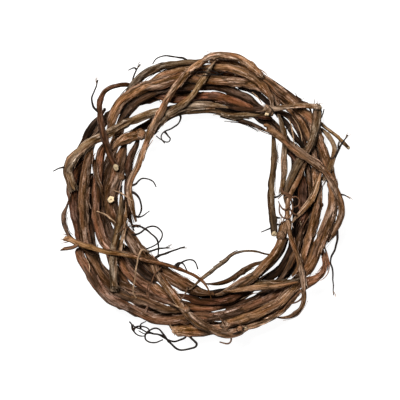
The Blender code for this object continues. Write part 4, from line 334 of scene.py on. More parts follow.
# name, stem or tendril it grows from, first and last diameter in mm, and the
# route: mm in X and Y from the middle of the ring and mm above the root.
TENDRILS = (
    ("curl_w_a", "arch_cane", 2.2, 1.6, ((-75.3, 12, 0), (-69, 12, 2), (-61, 18.5, 4), (-51, 16, 6),
     (-47, 10, 6))),
    ("curl_w_b", "arch_cane", 2.6, 2.2, ((-75.4, 4, 0), (-69, 4, 3), (-63, -3, 5), (-61.5, -13, 5),
     (-65, -21, 4))),
    ("curl_w_c", "arch_cane", 1.8, 1.4, ((-71.5, -19.5, 0), (-64, -20, 2), (-58, -17.5, 4),
     (-53.5, -13.7, 5))),
    ("curl_w_d", "rose_w", 2.4, 1.9, ((-70, -29, 0), (-63, -28.5, 3), (-57, -32.6, 6), (-49, -39, 8),
     (-45, -47, 8), (-46, -58, 6))),
    ("curl_w_e", "thick_w", 2.2, 1.8, ((-73.8, -36.5, 0), (-65, -37.5, 6), (-58, -33, 10), (-51, -29, 11),
     (-45, -30.5, 11), (-40, -36, 11), (-42, -43, 10), (-48, -48, 9), (-57, -52, 8))),
    ("twig_w_a", "thick_w", 2.8, 1.8, ((-59.6, -59.6, 0), (-54, -55, 3), (-45, -52, 5), (-33, -50, 6))),
    ("twig_w_b", "thick_w", 3, 2.2, ((-53.6, -66.2, 0), (-45, -59.5, 2), (-36, -55.8, 4), (-28, -52.6, 5),
     (-18, -50, 6))),
    ("curl_sw_a", "golden_twig", 2.2, 1.7, ((-26, -71.8, 0), (-24, -67, 2), (-18.5, -64, 3),
     (-13, -62.5, 3), (-8, -64.5, 3), (-5, -72, 3))),
    ("curl_sw_b", "thick_w", 1.8, 1.4, ((-43, -75.5, 0), (-45, -72.5, 7), (-50, -77, 13), (-53, -87, 15),
     (-54.5, -99, 14))),
    ("curl_s_a", "outer_s", 2.5, 2, ((-13, -134.2, 0), (-13, -139, 1), (-8.5, -143.5, 2), (-6, -148, 3),
     (-11, -151.5, 3), (-18, -152.8, 3), (-24.4, -153, 3), (-29.5, -149, 3), (-35, -144, 4), (-39, -138, 5),
     (-43, -133.6, 6), (-48, -131.6, 6), (-53, -133.6, 5), (-57, -137, 4), (-57.6, -141.8, 3),
     (-54, -144.8, 3), (-47, -145.3, 3), (-40, -142.3, 3))),
    ("curl_s_b", "outer_s", 2.2, 1.8, ((-16.5, -134, 0), (-17.5, -139.5, -2), (-22, -142.5, -3),
     (-29, -144.5, -3), (-35.5, -143, -3), (-41, -139.6, -3), (-47, -137, -3), (-55, -135.7, -2),
     (-61, -132.6, 0), (-68.3, -129.5, 1), (-73.4, -124.4, 2))),
    ("curl_s_c", "curl_s_b", 1.9, 1.6, ((-70.6, -127.4, 0), (-70.3, -133, 0), (-65, -138, 0),
     (-59.5, -139.2, 2), (-56.5, -136.5, 3))),
    ("hook_s", "cross_s", 2.2, 1.7, ((24, -136, 0), (28.2, -140.5, 0), (27.6, -144.8, 0), (23.6, -146.6, 0),
     (16.4, -144.6, 1))),
    ("curl_nw_a", "rim_top", 1.8, 1.5, ((-24.4, 85.2, 0), (-22.6, 80, 2), (-25, 74.3, 4), (-29.6, 69.8, 5),
     (-35.3, 67.4, 6), (-39.6, 64.8, 6), (-41.8, 61, 6), (-41, 57, 6), (-38.2, 53.7, 6))),
    ("curl_nw_b", "curl_nw_a", 1.6, 1.4, ((-38.5, 65.6, 0), (-35, 61.4, -2), (-32.4, 57.6, -3),
     (-35.6, 54.6, -4), (-40.5, 56.6, -4), (-46.8, 61.4, -4))),
    ("twig_nw_a", "hook_nw", 2.6, 1.6, ((-103.4, 83.7, 0), (-108, 88, 1), (-110.4, 94, 2), (-110, 101, 3),
     (-106.6, 109, 4), (-104.7, 116.4, 4))),
    ("twig_nw_b", "ridge_cane", 2.2, 1.6, ((-70.2, 110.2, 0), (-70, 115.5, 1), (-68.2, 122, 2),
     (-65.4, 128.4, 3), (-63, 132.6, 3))),
    ("barb_nw", "twig_nw_b", 1.6, 1.3, ((-66.2, 127, 0), (-69, 129, 1), (-74.6, 126.5, 2))),
    ("curl_n", "ridge_cane", 2.2, 1.5, ((-13.5, 134.6, 0), (-20, 137.6, 1), (-28.6, 139.4, 2),
     (-38, 140.6, 3), (-45, 138.8, 4), (-50.6, 132.8, 4))),
    ("hair_w", "knot_cane", 2, 1.4, ((-136.2, 31.4, 0), (-142, 29.2, 1), (-149.2, 25.5, 1))),
    ("twig_e_a", "hook_ne", 3.4, 1.8, ((127, 37.8, 0), (132.4, 41, 3), (135.8, 48.6, 5), (139.9, 55.2, 6),
     (144.4, 61.8, 6))),
    ("twig_e_b", "sweep_ne", 1.9, 1.3, ((135, 3, 0), (140, 2.6, 0), (146.5, -1.4, 0))),
    ("twig_se", "sweep_ne", 2.6, 1.5, ((131.6, -29.5, 0), (134, -38, 0), (132.6, -49, -1),
     (128.8, -58.5, -1), (127, -65, -1), (129.4, -72.6, -1), (129.9, -87, -1), (130.5, -98, -1))),
    ("spur_ne", "sweep_ne", 4.2, 3.2, ((67.9, 69.3, 0), (64.6, 70.6, 3), (61.6, 71.4, 4))),
    ("knob_ne", "light_ne", 5, 4.2, ((66.8, 83.6, 0), (64.6, 82.6, 3.6), (63, 82, 6.4))),
    ("stub_w_a", "thick_w", 5.6, 5, ((-87.4, -1.4, 0), (-90, -2, 5.5), (-92, -2.2, 9.4))),
    ("stub_w_b", "golden_twig", 3.8, 3.2, ((-124, -47, 0), (-131, -50.4, -1.5), (-140, -51.6, -2))),
    ("spur_sw", "long_s", 3.4, 2.4, ((-58.2, -114.6, 0), (-56.4, -111.4, 3.2), (-54.4, -108, 4.6))),
    ("curl_e", "slant_e", 1.8, 1.4, ((95, -19.6, 0), (90.5, -17, 4), (86, -11, 5), (87, -3, 5),
     (92, 0.5, 5), (96, -3, 6), (94.5, -8.6, 7), (89.6, -10.6, 7))),
    ("curl_s_d", "curl_s_b", 1.8, 1.5, ((-55, -136.5, 0), (-47, -137, 1.5), (-41, -138, 2),
     (-37, -141.5, 2.5), (-34.5, -145.5, 2.5))),
    ("curl_s_e", "curl_s_c", 1.8, 1.4, ((-69.5, -133, 0), (-67, -130, 1.5), (-61, -129.6, 2.5),
     (-55, -132, 3), (-54, -136, 3.4), (-60, -136.4, 3.4), (-64.5, -133.5, 3.4))),
    ("curl_s_f", "curl_s_b", 1.6, 1.4, ((-61.5, -130.5, 0), (-62, -126.5, 1), (-56.5, -123.8, 1.5))),
    ("curl_w_f", "twig_w_a", 2.2, 1.6, ((-54, -55, 0), (-59, -53, 4), (-62.5, -57.5, 9), (-65, -66, 10),
     (-67, -76, 6), (-68, -86, 3), (-69.4, -94, 1.5), (-66.5, -101, 1))),
    ("curl_sw_c", "golden_twig", 2, 1.6, ((-28.5, -70, 0), (-25.5, -66, 1), (-21, -65.6, 1.5),
     (-17.4, -69.6, 1.5), (-15.5, -74, 1))),
    ("curl_sw_d", "thick_w", 2.2, 1.7, ((-14, -87, 0), (-15.6, -92, 7), (-19, -98.5, 9),
     (-23.5, -104, 9.5))),
    ("strand_ne", "hook_ne", 3.4, 2.6, ((115, 66.5, 0), (117.5, 60, -1), (120, 52, -1.5), (123, 44.5, -2))),
    ("twig_e_c", "twig_e_a", 2, 1.5, ((135, 48, 0), (134.9, 52, 1.5), (135.8, 55.5, 2))),
    ("fray_ne_a", "corner_ne", 1.9, 1.3, ((114.5, 79, 0), (118.4, 85, 1.5), (117.6, 93, 2.5))),
    ("fray_ne_b", "corner_ne", 2.1, 1.4, ((113, 73, 0), (118.4, 80, 1), (120.8, 88, 1))),
    ("curl_e_b", "inner_rod_short", 2.4, 1.9, ((80, 8, 0), (84, 4, 4), (88.8, -1, 8), (91.3, -8, 9),
     (89.4, -15.5, 9), (84, -20.5, 8), (78.8, -19.6, 5), (76.4, -14, 3), (76.8, -7, 2))),
    ("spur_e_a", "inner_rod_long", 2.6, 1.8, ((68, -0.6, 0), (73, 0.2, 1), (77.5, 2.6, 0.5))),
    ("spur_e_b", "inner_rod_long", 2.4, 1.8, ((69, -19, 0), (73, -21, 0), (77.4, -21.4, 0))),
    ("spur_e_c", "inner_rod_long", 2.2, 1.7, ((70.2, -26.4, 0), (75, -27.8, 0), (79.4, -26.2, -1))),
    ("strand_e", "inner_rod_long", 2.4, 2.2, ((69, 21, 0), (66.6, 14, 0), (65, 6, 0), (64.8, -3, 0),
     (65.4, -12, 0), (67, -20, 0), (69, -27, 0))),
    ("hair_e", "inner_rod_long", 1.7, 1.4, ((69.6, -30, 0), (64, -32, 0), (58, -35, 0))),
    ("loop_se_a", "swing_se", 2.6, 1.9, ((102.2, -90, 0), (96.5, -94.5, -2), (90.6, -100.5, -3),
     (85, -106.5, -4), (80, -112.5, -5))),
    ("loop_se_b", "swing_se", 2.4, 1.8, ((102.6, -96, 0), (97.5, -102, -1), (91, -105.6, -2),
     (84, -106.6, -4))),
)


def smooth_route(rows, per=12):
    """Points of a Catmull-Rom curve through the rows, whatever their width."""
    p = np.asarray(rows, float)
    p = np.vstack([2 * p[0] - p[1], p, 2 * p[-1] - p[-2]])
    t = (np.arange(per) / per)[:, None]
    out = []
    for i in range(1, len(p) - 2):
        a, b, c, d = p[i - 1], p[i], p[i + 1], p[i + 2]
        out.append(0.5 * (2 * b + t * (c - a) + t ** 2 * (2 * a - 5 * b + 4 * c - d)
                          + t ** 3 * (3 * b - a - 3 * c + d)))
    out.append(p[-2][None])
    return np.vstack(out)


def ring_places(x, y, step, tight):
    """Where along a flat curve its rings go: closer together in tight bends."""
    s = np.r_[0, np.cumsum(np.hypot(np.diff(x), np.diff(y)))]
    n = max(6, int(s[-1] / 1.5))
    u = np.linspace(0, s[-1], n)
    heading = np.unwrap(np.arctan2(np.diff(np.interp(u, s, y)), np.diff(np.interp(u, s, x))))
    bend = np.abs(np.gradient(heading)) / (u[1] - u[0])
    bend = np.convolve(np.pad(bend, 3, mode="edge"), np.ones(7) / 7, "valid")
    dense = 1 / np.clip(TURN_PER_RING / np.maximum(bend, 1e-4), tight, step)
    dense = np.r_[dense, dense[-1]]
    count = np.r_[0, np.cumsum((dense[1:] + dense[:-1]) / 2 * (u[1] - u[0]))]
    m = max(3, int(round(count[-1])) + 1)
    return s, np.interp(np.linspace(0, count[-1], m), count, u)


def stem_chain(row):
    """Target points, radii and level of one stem."""
    name, tone, first, last, level, route = row
    full = [(w[0], w[1], w[2] if len(w) > 2 else level) for w in route]
    dense = smooth_route(full)
    a = np.radians(dense[:, 0])
    x, y = dense[:, 1] * np.cos(a), dense[:, 1] * np.sin(a)
    s, at = ring_places(x, y, RING_STEP, RING_STEP_TIGHT)
    t = at / at[-1]
    radius = (first + (last - first) * t) / 2
    radius *= 1 + 0.045 * np.sin(at / 17.0 + first * 9) + 0.03 * np.sin(at / 7.3 + last * 5)
    z = np.interp(at, s, dense[:, 2]) * LEVEL_STEP + radius
    points = np.c_[np.interp(at, s, x), np.interp(at, s, y), z]
    return {"name": name, "tone": tone, "target": points, "radius": radius, "along": at,
            "parent": None, "node": name}


def tendril_chain(row, chains):
    """Target points and radii of one tendril; its root sits on its parent's middle line."""
    name, parent, first, last, route = row
    dense = smooth_route(route, 6)
    s, at = ring_places(dense[:, 0], dense[:, 1], TENDRIL_STEP, TENDRIL_STEP_TIGHT)
    t = at / at[-1]
    lift = np.interp(at, s, dense[:, 2])
    points = np.c_[np.interp(at, s, dense[:, 0]), np.interp(at, s, dense[:, 1]), lift]
    up = chains[parent]
    near = np.hypot(*(up["target"][:, :2] - points[0, :2]).T)
    i = int(np.clip(near.argmin(), 0, len(near) - 2))
    if 0 < i and near[i - 1] < near[i + 1]:
        i -= 1
    a, b = up["target"][i, :2], up["target"][i + 1, :2]
    u = float(np.clip(np.dot(points[0, :2] - a, b - a) / np.dot(b - a, b - a), 0, 1))
    points[:, 2] += up["target"][i, 2] * (1 - u) + up["target"][i + 1, 2] * u
    points[0, :2] = a * (1 - u) + b * u
    return {"name": name, "tone": up["tone"], "target": points, "along": at,
            "radius": (first + (last - first) * t) / 2, "parent": (parent, i, u), "node": up["node"]}


def all_chains():
    """Every stem and tendril by name, in table order."""
    chains = {}
    for row in STEMS:
        chains[row[0]] = stem_chain(row)
    for row in TENDRILS:
        chains[row[0]] = tendril_chain(row, chains)
    return chains


def closest(p, q, a, b):
    """Nearest places s and t, from 0 to 1, on the segments p-q and a-b."""
    d1, d2, r = q - p, b - a, p - a
    aa, ee = (d1 * d1).sum(1) + 1e-12, (d2 * d2).sum(1) + 1e-12
    bb, cc, ff = (d1 * d2).sum(1), (d1 * r).sum(1), (d2 * r).sum(1)
    den = aa * ee - bb * bb
    s = np.where(den > 1e-9, np.clip((bb * ff - cc * ee) / np.maximum(den, 1e-9), 0, 1), 0.5)
    t = (bb * s + ff) / ee
    s = np.where(t < 0, np.clip(-cc / aa, 0, 1), np.where(t > 1, np.clip((bb - cc) / aa, 0, 1), s))
    return s, np.clip(t, 0, 1)


def underside(x, y):
    """Height below which no stem goes: three low places round the ring."""
    a = np.arctan2(y, x) - math.radians(WAVE_PHASE)
    return WAVE_HEIGHT * (0.5 - 0.5 * np.cos(3 * a)) ** 1.5


class Weave:
    """All chains in flat arrays, and the rounds that settle them."""

    def __init__(self, chains):
        self.chains = list(chains.values())
        index = {c["name"]: k for k, c in enumerate(self.chains)}
        counts = [len(c["target"]) for c in self.chains]
        self.start = np.r_[0, np.cumsum(counts)]
        self.target = np.vstack([c["target"] for c in self.chains])
        self.radius = np.concatenate([c["radius"] for c in self.chains])
        self.owner = np.repeat(np.arange(len(self.chains)), counts)
        nodes = {c["node"]: k for k, c in enumerate(self.chains) if c["parent"] is None}
        self.node = np.array([nodes[c["node"]] for c in self.chains])[self.owner]
        self.a = np.array([i for i in range(len(self.target) - 1) if self.owner[i] == self.owner[i + 1]])
        self.roots = [(self.start[k], self.start[index[c["parent"][0]]] + c["parent"][1], c["parent"][2])
                      for k, c in enumerate(self.chains) if c["parent"]]
        along = np.concatenate([c["along"] for c in self.chains])
        self.window = self.owner * 100 + (along / WINDOW).astype(int)
        self.p = self.target.copy()
        self.inner = np.zeros(len(self.p), bool)
        self.inner[1:-1] = (self.owner[2:] == self.owner[1:-1]) & (self.owner[:-2] == self.owner[1:-1])
        self.thin = np.array([c["parent"] is not None for c in self.chains])[self.owner]
        self.feet = self.find_feet(index[FOOT_STEM])
        self.first = np.zeros(len(self.p), bool)
        self.first[self.start[:-1]] = True
        self.last = np.zeros(len(self.p), bool)
        self.last[self.start[1:] - 1] = True

    def find_feet(self, k):
        """The two points of the lowest hoop nearest to each of its three low places."""
        x, y = self.target[self.start[k]:self.start[k + 1], :2].T
        feet = []
        for turn in range(3):
            off = np.degrees(np.arctan2(y, x)) - WAVE_PHASE - 120 * turn
            off = np.abs((off + 180) % 360 - 180)
            feet += list(self.start[k] + np.argsort(off, kind="stable")[:2])
        return np.array(feet)

    def find_pairs(self, reach):
        """Pairs of segments of different nodes that lie within reach."""
        a = self.a
        mid = (self.p[a] + self.p[a + 1]) / 2
        half = np.linalg.norm(self.p[a + 1] - self.p[a], axis=1) / 2 + self.radius[a]
        i, j = np.triu_indices(len(a), 1)
        keep = self.node[a[i]] != self.node[a[j]]
        i, j = i[keep], j[keep]
        far = ((mid[i] - mid[j]) ** 2).sum(1)
        keep = far < (half[i] + half[j] + reach) ** 2
        self.i, self.j = a[i[keep]], a[j[keep]]

    def gaps(self):
        """Air between the paired segments, where it is and which way it points."""
        i, j, p = self.i, self.j, self.p
        s, t = closest(p[i], p[i + 1], p[j], p[j + 1])
        ci = p[i] + (p[i + 1] - p[i]) * s[:, None]
        cj = p[j] + (p[j + 1] - p[j]) * t[:, None]
        away = ci - cj
        flat = np.linalg.norm(away, axis=1) < 1e-3
        away[flat] = (0, 0, 1e-3)
        dist = np.linalg.norm(away, axis=1)
        reach = (self.radius[i] * (1 - s) + self.radius[i + 1] * s
                 + self.radius[j] * (1 - t) + self.radius[j + 1] * t)
        return s, t, away / dist[:, None], dist - reach

    def shift(self, s, t, way, amount, share):
        """Moves the ends of the chosen segments; amount is the change of the gap."""
        move = np.zeros_like(self.p)
        count = np.zeros(len(self.p))
        for at, u, sign, part in ((self.i, s, 1, share), (self.j, t, -1, 1 - share)):
            w0, w1 = 1 - u, u
            norm = w0 * w0 + w1 * w1
            step = way * (sign * amount * part)[:, None] * SIDEWAYS
            np.add.at(move, at, step * (w0 / norm)[:, None])
            np.add.at(move, at + 1, step * (w1 / norm)[:, None])
            np.add.at(count, at, (amount != 0) * w0)
            np.add.at(count, at + 1, (amount != 0) * w1)
        return move / np.maximum(1.0, 0.75 * count)[:, None]

    def soften(self, passes, rate):
        """Spreads every displacement along its stem, as a stiff stem would."""
        e = self.p - self.target
        for _ in range(passes):
            lap = np.zeros_like(e)
            lap[1:-1] = (e[2:] + e[:-2]) / 2 - e[1:-1]
            e = e + rate * lap * self.inner[:, None]
        self.p = self.target + e

    def hold(self):
        """Keeps every point off the ground and every root on its parent."""
        low = self.radius * math.cos(math.pi / 8) - FLAT_DEPTH + underside(self.p[:, 0], self.p[:, 1])
        self.p[:, 2] = np.maximum(self.p[:, 2], low)
        self.p[self.feet, 2] = self.radius[self.feet] * math.cos(math.pi / 8) - FLAT_DEPTH
        for at, up, u in self.roots:
            self.p[at] = self.p[up] * (1 - u) + self.p[up + 1] * u
        self.p = np.round(self.p, 6)

    def settle(self):
        """Draws the stems together and pushes overlaps apart."""
        total = ROUNDS + LAST_ROUNDS
        for k in range(total):
            if k % PAIR_EVERY == 0:
                self.find_pairs(PAIR_REACH)
            s, t, way, gap = self.gaps()
            push = np.where(gap < GAP, GAP - gap, 0.0)
            thin_i, thin_j = self.thin[self.i], self.thin[self.j]
            share = np.where(thin_i & ~thin_j, 0.95, np.where(thin_j & ~thin_i, 0.05, 0.5))
            self.p = self.p + self.shift(s, t, way, push * (0.8 if k < ROUNDS else 0.95), share)
            if LEAN_FROM < k < ROUNDS:
                self.p = self.p + LEAN_SHARE * self.lean(s, t, way, gap)
            if k < ROUNDS:
                self.soften(2, 0.5 * (1 - 0.5 * k / ROUNDS))
                self.p = self.p + (self.target - self.p) * PULL * (1 - k / ROUNDS)
            elif k < total - 45:
                self.soften(1, 0.12)
            self.hold()

    def lean(self, s, t, way, gap):
        """A pull, window by window, towards the nearest neighbour; cut ends don't count."""
        tip = ((s <= 0) & self.first[self.i]) | ((s >= 1) & self.last[self.i + 1])
        tip |= ((t <= 0) & self.first[self.j]) | ((t >= 1) & self.last[self.j + 1])
        gap = np.where(tip, 1e6, gap)
        best = np.full(self.window.max() + 1, 1e9)
        wi, wj = self.window[self.i], self.window[self.j]
        np.minimum.at(best, wi, gap)
        np.minimum.at(best, wj, gap)
        for_i = (gap <= best[wi]) & (gap > GAP) & (gap < LEAN_REACH)
        for_j = (gap <= best[wj]) & (gap > GAP) & (gap < LEAN_REACH)
        amount = np.where(for_i | for_j, -(gap - GAP), 0.0)
        return self.shift(s, t, way, amount, 0.5)

    def paths(self):
        """The settled points of every chain by name."""
        return {c["name"]: self.p[self.start[k]:self.start[k + 1]] for k, c in enumerate(self.chains)}


# Fine stems.
CAP_BEVEL = (0.985, 0.93)             # rings of bark round a cut end, as shares of its radius
CAP_WOOD = (0.82, 0.6, 0.36, 0.14)    # rings of bare wood inside them
CAP_REACH = 4.0                       # mm of stem that a slanting cut bends along
POINT_REACH, CUT_REACH = 26.0, 5.0    # mm of stem that narrow towards a drawn-out and a cut end
KINK_SPACING, END_HOLD = 15.0, 12.0   # mm between two kinks of a stem, and from its end to full play
FINE_SIDES = (8, 40)                  # fewest and most sides of a fine stem
SHOOT_SIDES, TENDRIL_SIDES, KNOB_SIDES = 12, 7, 18
SHARP_ANGLE = math.radians(58)        # edges that bend more are drawn sharp
STRIP_THICKNESS, SPLINTER_THICKNESS, HAIR_RADIUS = 0.34, 0.3, 0.17   # mm
LOWEST = 0.02                         # mm over the floor below which no corner goes
BARK, WOOD, TENDRIL, CURL, STRAW = range(5)   # material slots of every piece

# How an end looks where it isn't drawn out to a point: start, end.
ENDS = {
    "golden_twig": ("torn", "point"), "light_ne": ("torn", "torn"), "twig_ne": ("torn", "sliced"),
    "swing_se": ("torn", "point"), "inner_arch": ("point", "torn"), "frayed_se": ("torn", "torn"),
    "inner_rod_long": ("point", "sliced"), "stump_nw": ("point", "knotted"), "hook_nw": ("point", "ringed"),
    "outer_s": ("slanted", "torn"), "cross_s": ("torn", "torn"), "hook_ne": ("torn", "torn"),
    "arch_cane": ("torn", "point"), "thick_nw": ("point", "torn"), "ridge_cane": ("torn", "torn"),
    "orange_se": ("torn", "point"), "thick_s": ("knotted", "torn"), "corner_ne": ("torn", "point"),
    "knot_cane": ("point", "torn"), "long_ne": ("torn", "torn"), "red_e": ("torn", "torn"),
    "sweep_ne": ("torn", "torn"), "dark_ne": ("torn", "point"), "inner_rod_short": ("point", "torn"),
    "long_s": ("blunt", "point"), "outer_w": ("point", "blunt"), "slant_w": ("point", "knotted"),
}
PLAIN_ENDS = ("point", "point")
# Each kind of end: share of the radius left there, mm by which it is ragged, how many of
# the rings of its face are bare wood, and how pale the rest of the face is.
END_KINDS = {
    "sliced": (0.95, 0.4, 3, 0.6), "ringed": (0.94, 0.9, 4, 0.55), "knotted": (1.25, 2.4, 0, 0.9),
    "slanted": (1.0, 2.6, 0, 0.7), "torn": (0.85, 2.2, 1, 0.8), "blunt": (0.95, 1.0, 0, 0.2),
    "point": (0.3, 0.4, 0, 0.0),
}
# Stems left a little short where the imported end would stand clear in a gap: mm at start, at end.
SHORTENED = {"edge_nw": (18.0, 0.0), "hook_w": (0.0, 14.0)}
FRAYED_STEM, FRAYED_STRANDS, FRAYED_LOSS = "frayed_se", 22, 0.55   # the shredded stem; share lost
LAID_SWELL, LAID_RISE = 0.2, 0.7      # how lumpy bark raises what lies on a stem: share of radius, mm
RING_IN_PHOTO = (203.0, 197.0)        # the ring's middle in the photo, where one step is 1 mm
# Straws and rootlets caught on the stems: from and to in the photo, bow as a share of the
# length, radius in mm, slot.
STRAWS = {
    "thick_w": ((112, 190, 133, 201, 0.05, 0.7, STRAW), (126, 216, 139, 228, -0.1, 0.5, CURL),
                (116, 234, 141, 225, 0.1, 0.5, CURL)),
    "second_w": ((97, 211, 116, 223, 0.06, 0.8, STRAW), (86, 258, 90, 272, 0.1, 0.45, STRAW)),
    "arch_cane": ((188, 73, 214, 75, 0.06, 0.7, TENDRIL), (196, 76, 229, 71, -0.05, 0.6, TENDRIL),
                  (203, 72, 226, 76, 0.08, 0.6, TENDRIL), (194, 70, 212, 71, 0.1, 0.5, TENDRIL),
                  (160, 103, 176, 88, -0.06, 0.5, STRAW)),
    "long_ne": ((289, 118, 294, 146, 0.05, 0.7, STRAW), (292, 116, 303, 143, 0.08, 0.6, STRAW),
                (286, 122, 289, 143, -0.06, 0.5, TENDRIL), (297, 132, 305, 150, 0.05, 0.5, TENDRIL)),
    "mid_ne": ((309, 216, 299, 241, -0.06, 0.6, CURL), (278, 199, 292, 201, 0.5, 0.8, CURL),
               (278, 201, 292, 202, -0.6, 0.9, CURL), (283, 198, 291, 203, 0.6, 0.7, CURL),
               (281, 192, 296, 206, 0.2, 0.8, CURL), (284, 208, 281, 224, 0.15, 0.7, CURL)),
    "red_ne": ((252, 92, 262, 104, 0.08, 0.5, STRAW), (266, 104, 277, 118, 0.05, 0.5, TENDRIL)),
    "thick_s": ((218, 316, 226, 328, 0.1, 0.6, CURL), (226, 330, 241, 324, 0.2, 0.8, CURL),
                (232, 333, 244, 327, -0.1, 0.7, TENDRIL), (240, 300, 262, 292, 0.05, 0.5, STRAW)),
    "long_s": ((149, 281, 163, 306, -0.3, 0.6, CURL), (168, 303, 187, 311, 0.06, 0.6, STRAW),
               (116, 286, 131, 296, 0.1, 0.4, TENDRIL)),
    "outer_s": ((170, 324, 175, 335, 0.05, 0.7, STRAW), (175, 321, 190, 326, 0.04, 0.5, CURL)),
}
# Round knobs where a side shoot broke off: place in the photo and radius.
KNOBS = {
    "thick_w": (121.0, 177.0, 4.2), "orange_se": (280.5, 236.0, 4.6), "cross_s": (186.5, 309.0, 3.8),
    "light_ne": (270.5, 114.0, 3.2), "dark_s": (240.0, 329.0, 3.8),
    "red_e": (321.0, 205.0, 2.4), "stump_nw": (142.0, 134.0, 4.6),
}

# Stems whose bark isn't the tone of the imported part.
TONE_OF = {
    "light_w": "brown", "rim_ne": "brown", "red_ne": "plum", "crown_cane": "tan", "pair_se_a": "tan",
    "outer_s": "tan", "hoop_outer": "brown", "hoop_inner": "brown", "dark_s": "brown",
    "frayed_se": "red", "plum_w": "red",
}
# Stems that are darker or paler than their tone.
SHADES = {
    0.34: ("core_se", "rim_ne"),
    0.42: ("red_ne", "rose_w"),
    0.5: ("dark_ne", "hook_w", "red_e", "shade_s"),
    0.6: ("core_s", "fibre_e", "fibre_w", "hook_nw", "inner_se", "outer_w", "ridge_cane", "shade_e"),
    0.72: ("corner_ne", "edge_nw", "inner_arch", "inner_rod_long", "light_ne", "orange_se"),
    0.85: ("core_n", "cross_s", "golden_twig", "hoop_inner", "light_w", "rim_top", "second_w",
           "sweep_ne", "swing_se", "thick_w"),
    1.15: ("arch_cane", "inner_rod_short", "knot_cane", "long_s", "red_top", "slant_e", "slant_w_thin"),
    1.35: ("dark_w", "drop_cane", "frayed_se", "long_ne", "mid_ne", "outer_s", "plum_w", "sw_core"),
    1.6: ("dark_s", "shade_top", "thick_nw"),
    1.9: ("hoop_outer", "twig_ne"),
}
FADING_STEM, FADE = "golden_twig", (0.36, 0.5)   # the twig that turns browner, and where along it
# Tendrils that aren't dark: bare, brown, or with the bark of their stem.
TENDRIL_SLOTS = {
    STRAW: ("curl_w_f",), BARK: ("curl_sw_d", "spur_sw"),
    CURL: ("curl_sw_b", "curl_e", "curl_e_b", "strand_e", "loop_se_a", "loop_se_b", "hook_s"),
}
LAID_OVER = ("curl_w_f", "curl_sw_b", "curl_sw_d", "curl_e", "curl_e_b")   # lie on top of the stems
SAWN_SHOOT, SAWN_SWELL = "stub_w_a", 1.35   # the sawn-off side shoot, and how much thicker it is here

# Stems with more loose bark than others, and stems deep in the wreath, which have less of it
# and are drawn in less detail: how many times as much, and how many times as coarse.
SHAGGY_LOOSE, DEEP_LOOSE, DEEP_STEP, DEEP_SIDE = 2.2, 0.25, 1.6, 1.5
SHAGGY = ("frayed_se", "fibre_e", "fibre_w", "thick_w", "second_w", "outer_s", "cross_s", "long_ne",
          "knot_cane", "slant_w", "mid_ne", "ridge_cane", "stump_nw", "long_s")
DEEP = ("hoop_outer", "hoop_inner", "shade_top", "shade_e", "shade_s", "core_n", "core_s", "core_se",
        "sw_core", "dark_s", "dark_w", "edge_nw", "edge_ne", "dark_ne")


def smoothstep(low, high, x):
    """0 below low, 1 above high, and a soft rise between."""
    t = np.clip((x - low) / (high - low), 0, 1)
    return t * t * (3 - 2 * t)


def grain(rng, turn, along, across_cell, along_cell, girth):
    """Soft noise from 0 to 1 on a stem's skin, in cells of the given mm; wraps round."""
    cols = max(3, int(round(girth / across_cell)))
    v = (along - along.min()) / along_cell
    grid = rng.random_sample((int(v.max()) + 3, cols))
    i = np.floor(v).astype(int)
    fv = v - i
    fv = fv * fv * (3 - 2 * fv)
    u = (turn % 1) * cols
    j = np.floor(u).astype(int) % cols
    fu = u - np.floor(u)
    fu = fu * fu * (3 - 2 * fu)
    k = (j + 1) % cols
    low = grid[i, j] * (1 - fu) + grid[i, k] * fu
    high = grid[i + 1, j] * (1 - fu) + grid[i + 1, k] * fu
    return low * (1 - fv) + high * fv


def drift(rng, along, cell, kinked=False):
    """Noise from -1 to 1 along a line, in cells of the given mm; soft, or kinked between cells."""
    v = (along - along.min()) / cell
    values = rng.random_sample(int(v.max()) + 3) * 2 - 1
    i = np.floor(v).astype(int)
    f = v - i
    if not kinked:
        f = f * f * (3 - 2 * f)
    return values[i] * (1 - f) + values[i + 1] * f


def rng_for(name):
    """The same random draw for a name in every run."""
    return np.random.RandomState(zlib.crc32(name.encode()) % (2 ** 31))


def frames(line):
    """Unit vectors along, beside and above every point of a line."""
    ahead = np.gradient(line, axis=0)
    ahead /= np.linalg.norm(ahead, axis=1)[:, None]
    side = np.cross((0, 0, 1.0), ahead)
    side[:, 1] += 1e-9
    side /= np.linalg.norm(side, axis=1)[:, None]
    return ahead, side, np.cross(ahead, side)


def ring_angles(sides):
    """Angles of a ring's corners, with one side facing straight down."""
    return 2 * np.pi * (np.arange(sides) + 0.5) / sides - np.pi / 2


def ring_grid(at, sides):
    """Place round the stem, in whole turns, and along it, of every corner of its rings."""
    return np.tile(ring_angles(sides) / (2 * np.pi), (len(at), 1)), np.tile(at[:, None], (1, sides))


def fibre_rows(size, angle, along):
    """Where each corner lies in a straight stem, so that the grain follows the bent one."""
    return np.stack([size * np.cos(angle) + 0 * along, size * np.sin(angle) + 0 * along, along], -1)


def travelled(points):
    """How far along a line each of its points lies."""
    return np.r_[0, np.cumsum(np.linalg.norm(np.diff(points, axis=0), axis=1))]


def rings(line, radius, sides):
    """Corners of a tube's rings, as rows; radius is one number a ring or one a corner."""
    _, side, up = frames(line)
    turn = ring_angles(sides)
    radius = np.broadcast_to(np.reshape(radius, (len(line), -1)), (len(line), sides))[..., None]
    out = np.cos(turn)[None, :, None] * side[:, None] + np.sin(turn)[None, :, None] * up[:, None]
    return line[:, None] + radius * out


def fine_line(points, radius, step):
    """Points and radii every step mm on a smooth curve through the settled points."""
    dense = smooth_route(np.c_[points, radius], 10)
    s = travelled(dense[:, :3])
    at = np.linspace(0, s[-1], max(6, int(round(s[-1] / step)) + 1))
    col = [np.interp(at, s, dense[:, k]) for k in range(4)]
    return np.column_stack(col[:3]), col[3], at


